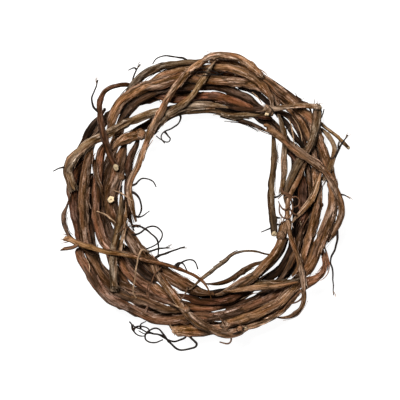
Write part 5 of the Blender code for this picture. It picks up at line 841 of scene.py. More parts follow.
@functools.lru_cache(maxsize=1)
def settled_weave():
    """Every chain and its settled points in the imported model's frame, in mm."""
    chains = all_chains()
    weave = Weave(chains)
    weave.settle()
    paths = weave.paths()
    corners = rings(paths[PLAIN_STEM], chains[PLAIN_STEM]["radius"], PLAIN_SIDES).reshape(-1, 3)
    low, high = (np.array(corner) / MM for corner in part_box(PLAIN_STEM))
    offset = low[:2] - corners.min(0)[:2]
    if np.abs(offset - (high[:2] - corners.max(0)[:2])).max() > PLACE_TOLERANCE:
        raise RuntimeError("the settled stems and the packed ones don't agree")
    offset = np.r_[offset, 0.0]
    return chains, {name: path + offset for name, path in paths.items()}, offset


@functools.lru_cache(maxsize=1)
def stem_table():
    """Place and radius of points along every stem in one table, and the stem of each."""
    chains, paths, _ = settled_weave()
    rows = {name: np.column_stack(fine_line(path, chains[name]["radius"], 1.0)[:2])
            for name, path in paths.items() if not chains[name]["parent"]}
    return np.vstack(list(rows.values())), np.repeat(list(rows), [len(row) for row in rows.values()])


def room_round(node, corners):
    """How far each corner of a piece lies from the nearest other stem's bark, in mm."""
    table, owners = stem_table()
    table = table[owners != node]
    tree = KDTree(len(table))
    for i, point in enumerate(table[:, :3].tolist()):
        tree.insert(point, i)
    tree.balance()
    found = [tree.find(corner)[1:] for corner in corners.tolist()]
    return np.array([away - table[i, 3] for i, away in found])


class Piece:
    """The geometry of one piece, gathered before it becomes a mesh; lengths in mm."""

    def __init__(self):
        self.verts, self.faces, self.slots = [], [], []
        self.traits = {"fibre": [], "groove": [], "plate": [], "across": []}
        self.count = 0

    def tube(self, rows, fibre, groove=0.0, plate=0.0, across=1.0, slots=BARK):
        """Adds one closed tube of rings; slots is one number or one for each band between rings."""
        m, n = rows.shape[:2]
        i = np.arange(m - 1)[:, None] * n
        j = np.arange(n)[None]
        k = (j + 1) % n
        quads = np.stack([i + j, i + k, i + n + k, i + n + j], -1).reshape(-1, 4)
        ring = np.arange(n)
        last = (m - 1) * n
        start = np.stack([np.full(n, m * n), np.roll(ring, -1), ring], -1)
        end = np.stack([np.full(n, m * n + 1), last + ring, last + np.roll(ring, -1)], -1)
        bands = np.broadcast_to(np.asarray(slots), (m - 1,))
        self.faces += (quads + self.count).tolist() + (np.r_[start, end] + self.count).tolist()
        self.slots += np.repeat(bands, n).tolist() + [int(bands[0])] * n + [int(bands[-1])] * n
        corners = np.vstack([rows.reshape(-1, 3), rows[0].mean(0), rows[-1].mean(0)])
        corners[:, 2] = np.maximum(corners[:, 2], LOWEST)
        self.verts.append(corners)
        fibre = np.broadcast_to(fibre, rows.shape)
        self.traits["fibre"].append(np.vstack([fibre.reshape(-1, 3), fibre[0].mean(0), fibre[-1].mean(0)]))
        for key, value in (("groove", groove), ("plate", plate), ("across", across)):
            value = np.broadcast_to(value, (m, n)).astype(float)
            poles = (0.0, 0.0) if key == "across" and slots is not BARK else (value[0, 0], value[-1, 0])
            self.traits[key].append(np.r_[value.ravel(), poles])
        self.count += m * n + 2

    def finish(self, node, materials):
        """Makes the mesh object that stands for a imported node."""
        mesh = bpy.data.meshes.new(node + "_bark")
        corners = np.vstack(self.verts)
        mesh.from_pydata(corners * MM, [], self.faces)
        mesh.polygons.foreach_set("material_index", np.array(self.slots, np.int32))
        for mat in materials:
            mesh.materials.append(mat)
        fibre = mesh.attributes.new("fibre", "FLOAT_VECTOR", "POINT")
        fibre.data.foreach_set("vector", np.vstack(self.traits["fibre"]).astype(np.float32).ravel())
        traits = {key: np.concatenate(self.traits[key]) for key in ("groove", "plate", "across")}
        # How far each corner lies from the other stems; the bark paints shade where this is small.
        traits["room"] = room_round(node, corners)
        for key, values in traits.items():
            mesh.attributes.new(key, "FLOAT", "POINT").data.foreach_set("value", values.astype(np.float32))
        mesh.shade_smooth()
        mesh.set_sharp_from_angle(angle=SHARP_ANGLE)
        ob = bpy.data.objects.new(node + "_bark", mesh)
        bpy.context.scene.collection.objects.link(ob)
        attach(ob, "root")
        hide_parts(node)
        return ob


def knots(rng, along, turn, radius, bark):
    """Swellings where leaves once sat, each with a bud scar on one side."""
    swell = np.zeros(turn.shape)
    at = along[0, 0] + rng.uniform(10, 40)
    bud_turn = rng.uniform()
    while at < along[-1, 0] - 6:
        tall = rng.uniform(0.6, 1.3) * bark.knot_swell
        wide = rng.uniform(2.6, 4.2)
        swell += tall * radius * np.exp(-((along - at) / wide) ** 2)
        off = (turn - bud_turn + 0.5) % 1 - 0.5
        bump = np.exp(-((along - at - 1.0) / 1.9) ** 2 - (off / 0.09) ** 2)
        swell += rng.uniform(0.9, 1.9) * tall * radius * bump
        at += rng.uniform(0.7, 1.35) * bark.knot_spacing / MM
        bud_turn += 0.5 + rng.uniform(-0.1, 0.1)
    return swell


def skin(rng, along, turn, radius, bark):
    """Radius, groove and plate at every corner of a fine stem; the groove marks the cracks and flake edges
    that the bark darkens with painted shade.
    """
    big = float(radius.mean())
    girth = 2 * np.pi * big
    scale = min(1.0, big / 3.6)
    lean = rng.uniform(-0.0014, 0.0014) * along + 0.045 * drift(rng, along, 24.0)
    fibre_turn = turn + lean
    lumps = grain(rng, turn, along, girth / 3, 24.0, girth) - 0.5
    flutes = np.abs(2 * grain(rng, fibre_turn, along, girth / 5, 60.0, girth) - 1)
    ridge = grain(rng, fibre_turn, along, 2.3, 19.0, girth)
    fine = grain(rng, fibre_turn, along, 1.3, 10.0, girth)
    valley = (1 - np.abs(2 * ridge - 1)) ** 4
    flakes = grain(rng, fibre_turn, along, 3.4, 26.0, girth)
    worn = smoothstep(0.46, 0.64, grain(rng, turn, along, girth / 3, 40.0, girth))
    plate = smoothstep(0.5, 0.57, flakes) * (1 - worn)
    groove = valley * (1 - 0.6 * worn)
    depth = bark.groove_depth / MM * scale
    r = radius * (0.97 + bark.lumps * (lumps + flutes)) + knots(rng, along, turn, radius, bark)
    r = r - depth * groove + 0.9 * depth * (fine - 0.5) * (1 - 0.4 * worn) + 0.75 * depth * plate
    # The flakes' edges join the groove mask, so that painted shade runs along them.
    edge = np.clip(np.abs(np.gradient(plate, axis=1)) * 2.2, 0, 1)
    return r, np.clip(groove + 0.7 * edge, 0, 1), plate


def end_taper(at, kinds):
    """Share of the radius along a stem whose ends are cut, torn or drawn to a point."""
    share = np.ones(len(at))
    for kind, away in zip(kinds, (at - at[0], at[-1] - at)):
        reach = POINT_REACH if kind == "point" else CUT_REACH
        left = END_KINDS[kind][0]
        share *= left + (1 - left) * smoothstep(0, reach, away) ** 0.8
    return share


def cut_ring(rng, rows, ahead, radius, kind, start):
    """Slants and frays a stem's last rings, and gives the rings of its cut face."""
    order = range(len(rows)) if start else range(len(rows) - 1, -1, -1)
    n = rows.shape[1]
    turn = ring_angles(n)
    slope = rng.uniform(0.3, 1.0)
    slant = slope * radius * np.cos(turn - rng.uniform(0, 2 * np.pi))
    outward = -1 if start else 1
    if kind in ("sliced", "ringed", "knotted"):
        slant = -(1.6 if kind == "ringed" else 0.9) * radius * np.sin(turn) * outward
    if kind == "slanted":
        slant = 0.75 * radius * np.cos(turn) * outward
    fray = END_KINDS[kind][1] * min(1.0, radius / 3)
    teeth = np.interp(np.arange(n), np.linspace(0, n, n // 3 + 2), rng.random_sample(n // 3 + 2) ** 2)
    slant += outward * fray * (1.6 * teeth + 0.5 * rng.random_sample(n) - 0.8)
    for row in order:
        away = np.linalg.norm(rows[row].mean(0) - rows[0 if start else -1].mean(0))
        if away > CAP_REACH:
            break
        rows[row] += ahead[row] * (slant * (1 - away / CAP_REACH))[:, None]
    rim = rows[0 if start else -1]
    middle = rim.mean(0)
    way = -ahead[0] if start else ahead[-1]
    face = []
    for share in CAP_BEVEL + CAP_WOOD:
        rough = (rng.random_sample(n) - 0.5) * fray * 0.7
        bulge = 0.22 * radius * (1 - share) * (2.2 if kind == "torn" else 1)
        bevel = -0.06 * radius if share in CAP_BEVEL else 0.0
        face.append(middle + (rim - middle) * share + way * (rough + bulge + bevel)[:, None])
    return np.array(face)


def add_stem(piece, name, chain, path, bark):
    """The fine stem itself, with its cut ends; returns its line and skin for what grows on it."""
    rng = rng_for(name)
    step = bark.ring_step / MM * (DEEP_STEP if name in DEEP else 1.0)
    line, radius, at = fine_line(path, chain["radius"], step)
    start, end = SHORTENED.get(name, (0.0, 0.0))
    keep = (at >= start) & (at <= at[-1] - end)
    line, radius, at = line[keep], radius[keep], at[keep] - start
    ahead, side, _ = frames(line)
    hold = smoothstep(0, END_HOLD, at) * smoothstep(0, END_HOLD, at[-1] - at)
    line = line + side * (bark.wander / MM * drift(rng, at, KINK_SPACING, True) * hold)[:, None]
    kinds = ENDS.get(name, PLAIN_ENDS)
    radius = radius * end_taper(at, kinds)
    cell = bark.side_width / MM * (DEEP_SIDE if name in DEEP else 1.0)
    sides = int(np.clip(round(2 * np.pi * radius.mean() / cell), *FINE_SIDES))
    turn, along = ring_grid(at, sides)
    if name == FRAYED_STEM:
        add_strands(piece, rng, line, radius, at)
        radius = radius * (1 - FRAYED_LOSS * smoothstep(0.1, 0.4, at / at[-1]))
    r, groove, plate = skin(rng, along, turn, np.tile(radius[:, None], (1, sides)), bark)
    rows = rings(line, r, sides)
    ahead, _, _ = frames(line)
    first = cut_ring(rng, rows, ahead, radius[0], kinds[0], True)
    last = cut_ring(rng, rows, ahead, radius[-1], kinds[1], False)
    shift = rng.uniform(0, 900)
    big = radius.mean()
    angle = ring_angles(sides)
    fibre = fibre_rows(big, angle, along + shift)
    inner = np.array(CAP_BEVEL + CAP_WOOD)
    caps = [fibre_rows(big * share, angle, np.full(sides, shift + z))
            for z in (0.0, at[-1]) for share in inner]
    caps = np.array(caps).reshape(2, len(inner), sides, 3)
    full = np.concatenate([first[::-1], rows, last])
    flat = np.zeros((len(inner), sides))
    pale = [flat + END_KINDS[kind][3] for kind in kinds]
    share = np.tile(inner[:, None], (1, sides))
    slots = np.full(len(full) - 1, BARK)
    slots[:END_KINDS[kinds[0]][2]] = WOOD
    slots[len(slots) - END_KINDS[kinds[1]][2]:] = WOOD
    piece.tube(full, np.concatenate([caps[0][::-1], fibre, caps[1]]),
               np.concatenate([flat, groove, flat]), np.concatenate([pale[0], plate, pale[1]]),
               np.concatenate([share[::-1], along / at[-1], share]), slots)
    return line, rows, at, fibre


def add_strands(piece, rng, line, radius, at):
    """Loose strands that run along a shredded stem, as far out as its bark once was."""
    _, side, up = frames(line)
    for _ in range(FRAYED_STRANDS):
        first = rng.randint(0, len(at) // 2)
        last = rng.randint(first + len(at) // 3, len(at) + 1)
        angle = (rng.uniform(0, 2 * np.pi) + 0.9 * drift(rng, at, 18.0))[:, None]
        reach = (radius * (rng.uniform(0.45, 1.1) + 0.25 * drift(rng, at, 12.0)))[:, None]
        path = (line + reach * (np.cos(angle) * side + np.sin(angle) * up))[first:last]
        share = np.linspace(0, 1, len(path))
        thick = rng.uniform(0.35, 0.8) * (0.3 + 0.7 * np.sin(np.pi * share) ** 0.5)
        add_thread(piece, path, thick, 5, rng, BARK, rng.uniform(0.2, 0.8))


def strip_rows(path, beside, out, half, top, thick):
    """Corners of a flat strip whose upper side is narrower, as rows."""
    return np.stack([path - beside * half, path + beside * half, path + beside * half * top + out * thick,
                     path - beside * half * top + out * thick], 1)[:, ::-1]


def add_strip(piece, rng, line, rows, at, fibre, bark):
    """One strip of loose bark that lies along a stem and lifts at its ends."""
    m, n = rows.shape[:2]
    long = rng.uniform(12, 40)
    if at[-1] < long + 16:
        return
    s0 = rng.uniform(6, at[-1] - long - 6)
    wide = rng.uniform(0.5, 1.0) * bark.strip_width / MM
    where = np.linspace(s0, s0 + long, max(5, int(long / 3.2)))
    turn = rng.uniform(0.02, 0.48) + 0.02 * drift(rng, where, 20.0)
    tips = rng.uniform(0.3, 1.0, 2) * bark.strip_lift / MM
    share = (where - s0) / long
    lift = 0.12 + tips[0] * (1 - share) ** 5 + tips[1] * share ** 5
    row = np.clip(np.searchsorted(at, where), 0, m - 1)
    col = (turn * n).astype(int) % n
    base, out = rows[row, col], rows[row, col] - line[row]
    out /= np.linalg.norm(out, axis=1)[:, None]
    ahead, _, _ = frames(line)
    beside = np.cross(ahead[row], out)
    half = (wide / 2 * (0.35 + 0.65 * np.sin(np.pi * np.clip(share, 0.04, 0.96)) ** 0.5))[:, None]
    mid = base + out * lift[:, None]
    piece.tube(strip_rows(mid, beside, out, half, 0.8, STRIP_THICKNESS),
               fibre[row, col][:, None] + np.zeros((1, 4, 1)), 0.0, 1.0)


def add_splinters(piece, rng, line, rows, fibre, start):
    """Long torn fibres that stick out of a broken end."""
    m, n = rows.shape[:2]
    end = 0 if start else m - 1
    inward = 1 if start else -1
    ahead = frames(line)[0][end] * -inward
    back = end + inward * min(4, m - 1)
    size = np.linalg.norm(rows[end] - line[end], axis=1).mean()
    for _ in range(int(rng.uniform(4, 5 + 2 * size))):
        j = rng.randint(n)
        out = (rows[end, j] - line[end]) / size
        long = rng.uniform(1.5, 3.0 + 1.6 * size)
        away = rng.uniform(0.05, 0.55)
        t = np.linspace(0, 1, 5)[:, None]
        root = rows[back, j] - out * 0.25
        tip = rows[end, j] + (ahead + out * away) * long
        path = root + (tip - root) * t + out * (0.6 * np.sin(np.pi * t))
        path[:, 2] = np.maximum(path[:, 2], 0.7)
        half = (0.5 * rng.uniform(0.5, 1.1) * min(1.6, size / 1.6) * (1.02 - t ** 2))
        beside = np.cross(ahead, out)
        piece.tube(strip_rows(path, beside, out, half, 0.7, SPLINTER_THICKNESS),
                   fibre[end, j] + 3.0 * t[:, None] * np.ones((1, 4, 3)), 0.0, 1.0)


def add_hair(piece, rng, line, rows, bark):
    """One stray fibre that springs off a stem's upper half."""
    m, n = rows.shape[:2]
    i = rng.randint(3, m - 3)
    j = int(rng.uniform(-0.02, 0.52) * n) % n
    out = rows[i, j] - line[i]
    out /= np.linalg.norm(out)
    ahead = frames(line)[0][i] * rng.choice((-1, 1))
    long = rng.uniform(0.35, 1.0) * bark.hair_length / MM
    t = np.linspace(0, 1, 9)[:, None]
    bend = rng.uniform(-0.5, 0.5) * np.cross(ahead, out)
    away = rows[i, j] - out * 0.3 + ahead * long * t
    away = away + out * long * (0.32 * t - 0.22 * t ** 2) * rng.uniform(0.4, 1.4) + bend * long * t ** 2
    away[:, 2] = np.maximum(away[:, 2], 1.0)
    add_thread(piece, away, HAIR_RADIUS * (1 - 0.6 * t[:, 0]), 3, rng, BARK, 0.7)


def add_thread(piece, line, radius, sides, rng, slot, plate):
    """A thin closed tube with its own grain."""
    rows = rings(line, radius, sides)
    s = travelled(line) + rng.uniform(0, 500)
    angle = ring_angles(sides)
    wide = float(np.mean(radius))
    fibre = fibre_rows(wide, angle, np.tile(s[:, None], (1, sides)))
    piece.tube(rows, fibre, 0.0, plate, slots=np.full(len(rows) - 1, slot))
    return rows, fibre


def height_below(line, radius):
    """How high a thin line must lie to rest on the stems that it crosses; 0 over gaps."""
    stem = stem_table()[0]
    away = np.hypot(line[:, None, 0] - stem[None, :, 0], line[:, None, 1] - stem[None, :, 1])
    wide = stem[None, :, 3]
    top = stem[None, :, 2] + np.sqrt(np.maximum(wide ** 2 - away ** 2, 0)) * (1 + LAID_SWELL)
    return np.where(away < wide, top + LAID_RISE + radius[:, None], 0).max(1)


def softened(height):
    """The height with its peaks kept and its dips filled and smoothed."""
    size = 4
    padded = np.pad(height, size, mode="edge")
    peak = np.array([padded[i:i + 2 * size + 1].max() for i in range(len(height))])
    window = np.hanning(2 * size + 3)[1:-1]
    return np.convolve(np.pad(peak, size, mode="edge"), window / window.sum(), mode="valid")


def lifted(line, radius, at):
    """A tendril's line raised to lie on whatever stems it crosses, but for its root."""
    hold = smoothstep(0, 5, at)
    top = softened(np.maximum(height_below(line, radius), line[:, 2]))
    return np.column_stack([line[:, :2], line[:, 2] * (1 - hold) + top * hold])


def from_photo(places):
    """Places in the photo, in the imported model's frame."""
    return (np.array(places, float) - RING_IN_PHOTO) * (1, -1) + settled_weave()[2][:2]


def add_knob(piece, rng, x, y, radius):
    """A lumpy knob on top of the stems at a place in the photo."""
    spot = from_photo((x, y))
    top = height_below(np.array([[*spot, 0.0]]), np.zeros(1))[0]
    if top == 0:
        return
    t = np.linspace(0, 1, 9)
    lean = rng.uniform(-0.25, 0.25, 2)
    line = np.column_stack([spot[0] + lean[0] * radius * t, spot[1] + lean[1] * radius * t,
                            top + radius * (1.5 * t - 1.0)])
    size = radius * np.sqrt(np.clip(1.02 - (1.5 * t - 0.5) ** 2, 0.02, 1))
    turn, along = ring_grid(t * radius * 2, KNOB_SIDES)
    lumps = grain(rng, turn, along, 2.0, 2.0, 2 * np.pi * radius)
    rows = rings(line, size[:, None] * (0.82 + 0.36 * lumps), KNOB_SIDES)
    # Painted shade: the knob's lower half, down among the stems, is darkened through the groove mask, and
    # its top is left light.
    dark = np.tile((0.9 * (1 - smoothstep(0.5, 0.95, t)))[:, None], (1, KNOB_SIDES))
    piece.tube(rows, rows * 1.0, dark, 0.5 * lumps)


def add_straws(piece, name, rng):
    """Thin broken straws and rootlets caught across the stems near this one."""
    for x0, y0, x1, y1, curve, radius, slot in STRAWS.get(name, ()):
        ends = from_photo(((x0, y0), (x1, y1)))
        long = np.hypot(*(ends[1] - ends[0]))
        t = np.linspace(0, 1, max(8, int(long)))[:, None]
        way = (ends[1] - ends[0]) / long
        bow = curve * long * np.sin(np.pi * t) + 0.3 * drift(rng, t[:, 0] * long, 5.0)[:, None]
        flat = ends[0] + (ends[1] - ends[0]) * t + bow * np.array((-way[1], way[0]))
        thick = radius * (0.45 + 0.55 * np.sin(np.pi * np.clip(t[:, 0], 0.05, 0.95)))
        height = height_below(np.column_stack([flat, 0 * t]), thick)
        solid = height > 0
        if not solid.any():
            continue
        height = np.interp(t[:, 0], t[solid, 0], height[solid])
        add_thread(piece, np.column_stack([flat, softened(height)]), thick, 5, rng, slot, 0.8)


def add_tendril(piece, name, chain, path, bark):
    """A fine tendril or spur, thicker at its root and thinner towards its tip."""
    rng = rng_for(name)
    line, radius, at = fine_line(path, chain["radius"], 1.0)
    share = at / at[-1]
    stout = radius.mean() > 1.5
    if name == SAWN_SHOOT:
        radius = radius * SAWN_SWELL
    elif not stout:
        radius = radius * (bark.tendril_share * (1.0 - 0.25 * share))
    radius = radius * (1 + 0.7 * np.exp(-at / 3.0)) * (1 + 0.12 * drift(rng, at, 5.0))
    if name in LAID_OVER:
        line = lifted(line, radius, at)
    _, side, up = frames(line)
    loose = smoothstep(2, 9, at) * (0.1 if stout else 0.35)
    line = line + side * (loose * drift(rng, at, 6.0))[:, None] + up * (loose * drift(rng, at, 7.0))[:, None]
    sides = SHOOT_SIDES if stout else TENDRIL_SIDES
    if not stout:
        slot = next((slot for slot, names in TENDRIL_SLOTS.items() if name in names), TENDRIL)
        rows, fibre = add_thread(piece, line, radius, sides, rng, slot, 0.6)
        if name.startswith("twig"):
            add_splinters(piece, rng, line, rows, fibre, False)
        return
    turn, along = ring_grid(at, sides)
    r, groove, plate = skin(rng, along, turn, np.tile(radius[:, None], (1, sides)), bark)
    rows = rings(line, r, sides)
    ahead, _, _ = frames(line)
    face = cut_ring(rng, rows, ahead, radius[-1], "torn", False)
    angle = ring_angles(sides)
    fibre = fibre_rows(2, angle, along)
    tail = np.repeat(fibre[-1:], len(face), 0)
    flat = np.zeros((len(face), sides))
    slots = np.full(len(rows) + len(face) - 1, BARK)
    slots[-len(CAP_WOOD):] = WOOD
    inner = np.tile(np.array(CAP_BEVEL + CAP_WOOD)[:, None], (1, sides))
    piece.tube(np.concatenate([rows, face]), np.concatenate([fibre, tail]),
               np.concatenate([groove, flat]), np.concatenate([plate, flat]),
               np.concatenate([np.ones_like(groove), inner]), slots)


def dress(name, scene):
    """The fine piece that stands for one packed stem and all that grows from it."""
    bark, tones = scene.wreath_bark, scene.wreath_colours
    chains, paths, _ = settled_weave()
    piece = Piece()
    line, rows, at, fibre = add_stem(piece, name, chains[name], paths[name], bark)
    rng = rng_for(name + "_loose")
    per = at[-1] / 100 * (DEEP_LOOSE if name in DEEP else SHAGGY_LOOSE if name in SHAGGY else 1.0)
    for _ in range(int(round(per * bark.strips))):
        add_strip(piece, rng, line, rows, at, fibre, bark)
    for _ in range(int(round(per * bark.hairs))):
        add_hair(piece, rng, line, rows, bark)
    for kind, start in zip(ENDS.get(name, PLAIN_ENDS), (True, False)):
        if kind == "torn":
            add_splinters(piece, rng, line, rows, fibre, start)
    add_straws(piece, name, rng)
    if name in KNOBS:
        add_knob(piece, rng, *KNOBS[name])
    for key, chain in chains.items():
        if chain["parent"] and chain["node"] == name:
            add_tendril(piece, key, chain, paths[key], bark)
    tone = TONE_OF.get(name, chains[name]["tone"])
    shade = next((value for value, names in SHADES.items() if name in names), 1.0)
    return piece.finish(name, [bark_material(name, tone, shade, tones), wood_material(tones),
                               *(tendril_material(kind, tones) for kind in ("tendril", "curl", "straw"))])


def put(tree, kind, settings=None, **inputs):
    """Adds a shader node; an input is a value, or a socket to link from."""
    node = tree.nodes.new(kind)
    for key, value in (settings or {}).items():
        setattr(node, key, value)
    for key, value in inputs.items():
        socket = node.inputs[int(key[2:])] if key.startswith("in") else node.inputs[key]
        if isinstance(value, bpy.types.NodeSocket):
            tree.links.new(value, socket)
        else:
            socket.default_value = value
    return node


def new_material(name):
    """An empty node material with its Principled shader."""
    mat = bpy.data.materials.new(name)
    mat.use_nodes = True
    return mat, mat.node_tree, mat.node_tree.nodes["Principled BSDF"]


def trait(tree, name, output):
    """Socket of one of the mesh's own traits."""
    return put(tree, "ShaderNodeAttribute", {"attribute_name": name}).outputs[output]


def fibre_noise(tree, across, along, detail, rough, distortion=0.0):
    """Noise drawn out along the stem; across and along are cells in mm."""
    scale = (1 / across, 1 / across, 1 / along)
    place = put(tree, "ShaderNodeMapping", Vector=trait(tree, "fibre", "Vector"), Scale=scale)
    noise = put(tree, "ShaderNodeTexNoise", None, Vector=place.outputs["Vector"], Scale=1.0,
                Detail=detail, Roughness=rough, Distortion=distortion)
    return noise.outputs["Fac"]


def spread(tree, value, low, high, to_low=0.0, to_high=1.0):
    """Maps a value's range onto another, held at both ends."""
    node = put(tree, "ShaderNodeMapRange", {"clamp": True})
    tree.links.new(value, node.inputs["Value"])
    for key, number in zip(("From Min", "From Max", "To Min", "To Max"), (low, high, to_low, to_high)):
        node.inputs[key].default_value = number
    return node.outputs["Result"]


def sums(tree, kind, a, b):
    """One arithmetic step."""
    return put(tree, "ShaderNodeMath", {"operation": kind}, in0=a, in1=b).outputs[0]


def weighed(tree, a, share_a, b, share_b):
    """Two values, each times its share, added up."""
    return sums(tree, "ADD", sums(tree, "MULTIPLY", a, share_a), sums(tree, "MULTIPLY", b, share_b))


def swing(tree, value, amount):
    """How far a value is from its middle, times an amount."""
    return sums(tree, "MULTIPLY", sums(tree, "SUBTRACT", value, 0.5), amount)


def mixed(tree, factor, a, b, blend="MIX"):
    """Colour mix; a and b are sockets or colours."""
    node = put(tree, "ShaderNodeMix", {"data_type": "RGBA", "blend_type": blend})
    for index, value in ((0, factor), (6, a), (7, b)):
        if isinstance(value, bpy.types.NodeSocket):
            tree.links.new(value, node.inputs[index])
        else:
            node.inputs[index].default_value = value if index == 0 else tuple(value) + (1.0,)
    return node.outputs[2]


def ramp(tree, value, stops):
    """Colour ramp with the given places and colours."""
    node = put(tree, "ShaderNodeValToRGB", None, Fac=value)
    band = node.color_ramp
    while len(band.elements) < len(stops):
        band.elements.new(0.5)
    for element, (place, colour) in zip(band.elements, stops):
        element.position = place
        element.color = tuple(colour) + (1.0,)
    return node.outputs["Color"]


BROWN, DUSTY = (0.95, 0.4, 0.05), (0.545, 0.5, 0.455)   # hues that dark and pale bark turn to
BARK_GLOSS, WOOD_GLOSS, TENDRIL_GLOSS = 0.04, 0.25, 0.12
BARK_RELIEF, WOOD_RELIEF, TENDRIL_RELIEF = 1.3 * MM, 0.4 * MM, 0.2 * MM


def tinted(colour, factor, towards=(0.5, 0.5, 0.5), share=0.0):
    """A colour made darker or lighter and drawn towards another of the same brightness."""
    luma = sum(c * w for c, w in zip(colour, (0.21, 0.72, 0.07)))
    return tuple(min(1.0, factor * (c * (1 - share) + luma * 2 * t * share))
                 for c, t in zip(colour, towards))


def finish_shader(tree, shader, colour, rough, gloss, height, strength, depth):
    """Gives a shader its colour, roughness, gloss and bump; depth is in metres."""
    tree.links.new(colour, shader.inputs["Base Color"])
    tree.links.new(rough, shader.inputs["Roughness"])
    shader.inputs["Specular IOR Level"].default_value = gloss
    bump = put(tree, "ShaderNodeBump", None, Height=height, Strength=strength, Distance=depth)
    tree.links.new(bump.outputs["Normal"], shader.inputs["Normal"])


def bark_material(name, tone, shade, tones):
    """Dry fibrous bark: streaks along the stem, worn patches and grey flakes, with painted shade in the
    grooves, along the flakes' edges and where other stems lie close.
    """
    mat, tree, shader = new_material("bark_" + name)
    base = tinted(getattr(tones, tone), shade, DUSTY, 0.2)
    streak = fibre_noise(tree, 1.1, 19.0, 6.0, 0.7, 0.12)
    thread = fibre_noise(tree, 0.5, 9.0, 4.0, 0.7)
    patch = fibre_noise(tree, 5.5, 24.0, 4.0, 0.6, 0.3)
    speck = fibre_noise(tree, 0.9, 1.5, 5.0, 0.75)
    value = weighed(tree, streak, 0.62, patch, 0.38)
    value = sums(tree, "ADD", value, swing(tree, thread, 0.62))
    value = sums(tree, "ADD", value, swing(tree, speck, 0.36))
    calm = spread(tree, fibre_noise(tree, 7.0, 42.0, 2.0, 0.5), 0.42, 0.58, 0.4, 1.0)
    value = sums(tree, "ADD", swing(tree, value, calm), 0.5)
    warm = ramp(tree, value, (
        (0.37, tinted(base, 0.09, BROWN, 1.0)), (0.455, tinted(base, 0.42, BROWN, 0.6)),
        (0.52, tinted(base, 1.0)), (0.575, tinted(base, 1.95, DUSTY, 0.35)),
        (0.66, tinted(base, 3.6, DUSTY, 0.65))))
    pale = ramp(tree, value, (
        (0.38, tinted(base, 0.3, BROWN, 0.4)), (0.48, tinted(base, 1.0, DUSTY, 0.3)),
        (0.555, tinted(base, 2.4, DUSTY, 0.55)), (0.66, tinted(base, 4.0, DUSTY, 0.75))))
    plate = sums(tree, "MULTIPLY", trait(tree, "plate", "Fac"), 0.7)
    colour = mixed(tree, plate, warm, pale)
    rust = spread(tree, fibre_noise(tree, 4.0, 22.0, 3.0, 0.55, 0.3), 0.5, 0.62, 0.0, 0.36)
    colour = mixed(tree, rust, colour, mixed(tree, 1.0, colour, tones.rust_stain, "MULTIPLY"))
    dirt = spread(tree, fibre_noise(tree, 1.6, 7.0, 5.0, 0.7, 0.4), 0.35, 0.47, 0.92, 0.0)
    colour = mixed(tree, dirt, colour, tinted(base, 0.1, BROWN, 1.0))
    # Painted shade: the groove mask darkens the bark almost to black in its cracks and along the edges of
    # its raised flakes.
    groove = sums(tree, "MULTIPLY", trait(tree, "groove", "Fac"), 0.8)
    colour = mixed(tree, groove, colour, tinted(base, 0.06, BROWN, 1.0))
    # Painted shade: the bark is darkened almost to black where another stem's bark lies within a few mm, as
    # in the shade between stems.
    shadow = spread(tree, trait(tree, "room", "Fac"), 0.4, 3.0, 0.9, 0.0)
    colour = mixed(tree, shadow, colour, tinted(base, 0.07, BROWN, 1.0))
    if name == FADING_STEM:
        dull = mixed(tree, 1.0, colour, tones.far_half, "MULTIPLY")
        colour = mixed(tree, spread(tree, trait(tree, "across", "Fac"), *FADE), colour, dull)
    height = weighed(tree, streak, 0.7, thread, 0.5)
    height = sums(tree, "ADD", height, sums(tree, "MULTIPLY", speck, 0.3))
    finish_shader(tree, shader, colour, spread(tree, streak, 0.3, 0.7, 0.9, 0.6), BARK_GLOSS,
                  sums(tree, "MULTIPLY", height, calm), 1.0, BARK_RELIEF)
    return mat


@functools.lru_cache(maxsize=None)
def wood_material(tones):
    """Bare wood of a cut end: dark pith, pale rings, brown rim."""
    mat, tree, shader = new_material("cut_wood")
    share = trait(tree, "across", "Fac")
    grainy = fibre_noise(tree, 0.7, 0.7, 4.0, 0.65)
    place = sums(tree, "ADD", share, swing(tree, grainy, 0.22))
    wood = tuple(tones.cut_wood)
    colour = ramp(tree, place, ((0.06, tinted(wood, 0.22)), (0.2, tinted(wood, 0.75)), (0.45, wood),
                                (0.62, tinted(wood, 0.8)), (0.74, tinted(wood, 1.1)),
                                (0.9, tinted(wood, 0.35))))
    colour = mixed(tree, spread(tree, grainy, 0.3, 0.45, 0.5, 0.0), colour, tinted(wood, 0.35))
    finish_shader(tree, shader, colour, spread(tree, grainy, 0.3, 0.7, 0.9, 0.7), WOOD_GLOSS,
                  grainy, 0.5, WOOD_RELIEF)
    return mat


@functools.lru_cache(maxsize=None)
def tendril_material(name, tones):
    """Wiry tendril with a faint sheen and paler worn lengths."""
    mat, tree, shader = new_material(name)
    worn = fibre_noise(tree, 3.0, 7.0, 3.0, 0.6)
    thread = fibre_noise(tree, 0.4, 4.0, 3.0, 0.6)
    wire = tuple(getattr(tones, name))
    colour = ramp(tree, weighed(tree, worn, 0.7, thread, 0.3), (
        (0.34, tinted(wire, 0.5)), (0.5, wire), (0.66, tinted(wire, 2.6, (0.58, 0.5, 0.4), 0.3))))
    finish_shader(tree, shader, colour, spread(tree, worn, 0.3, 0.7, 0.6, 0.85), TENDRIL_GLOSS,
                  thread, 0.5, TENDRIL_RELIEF)
    return mat


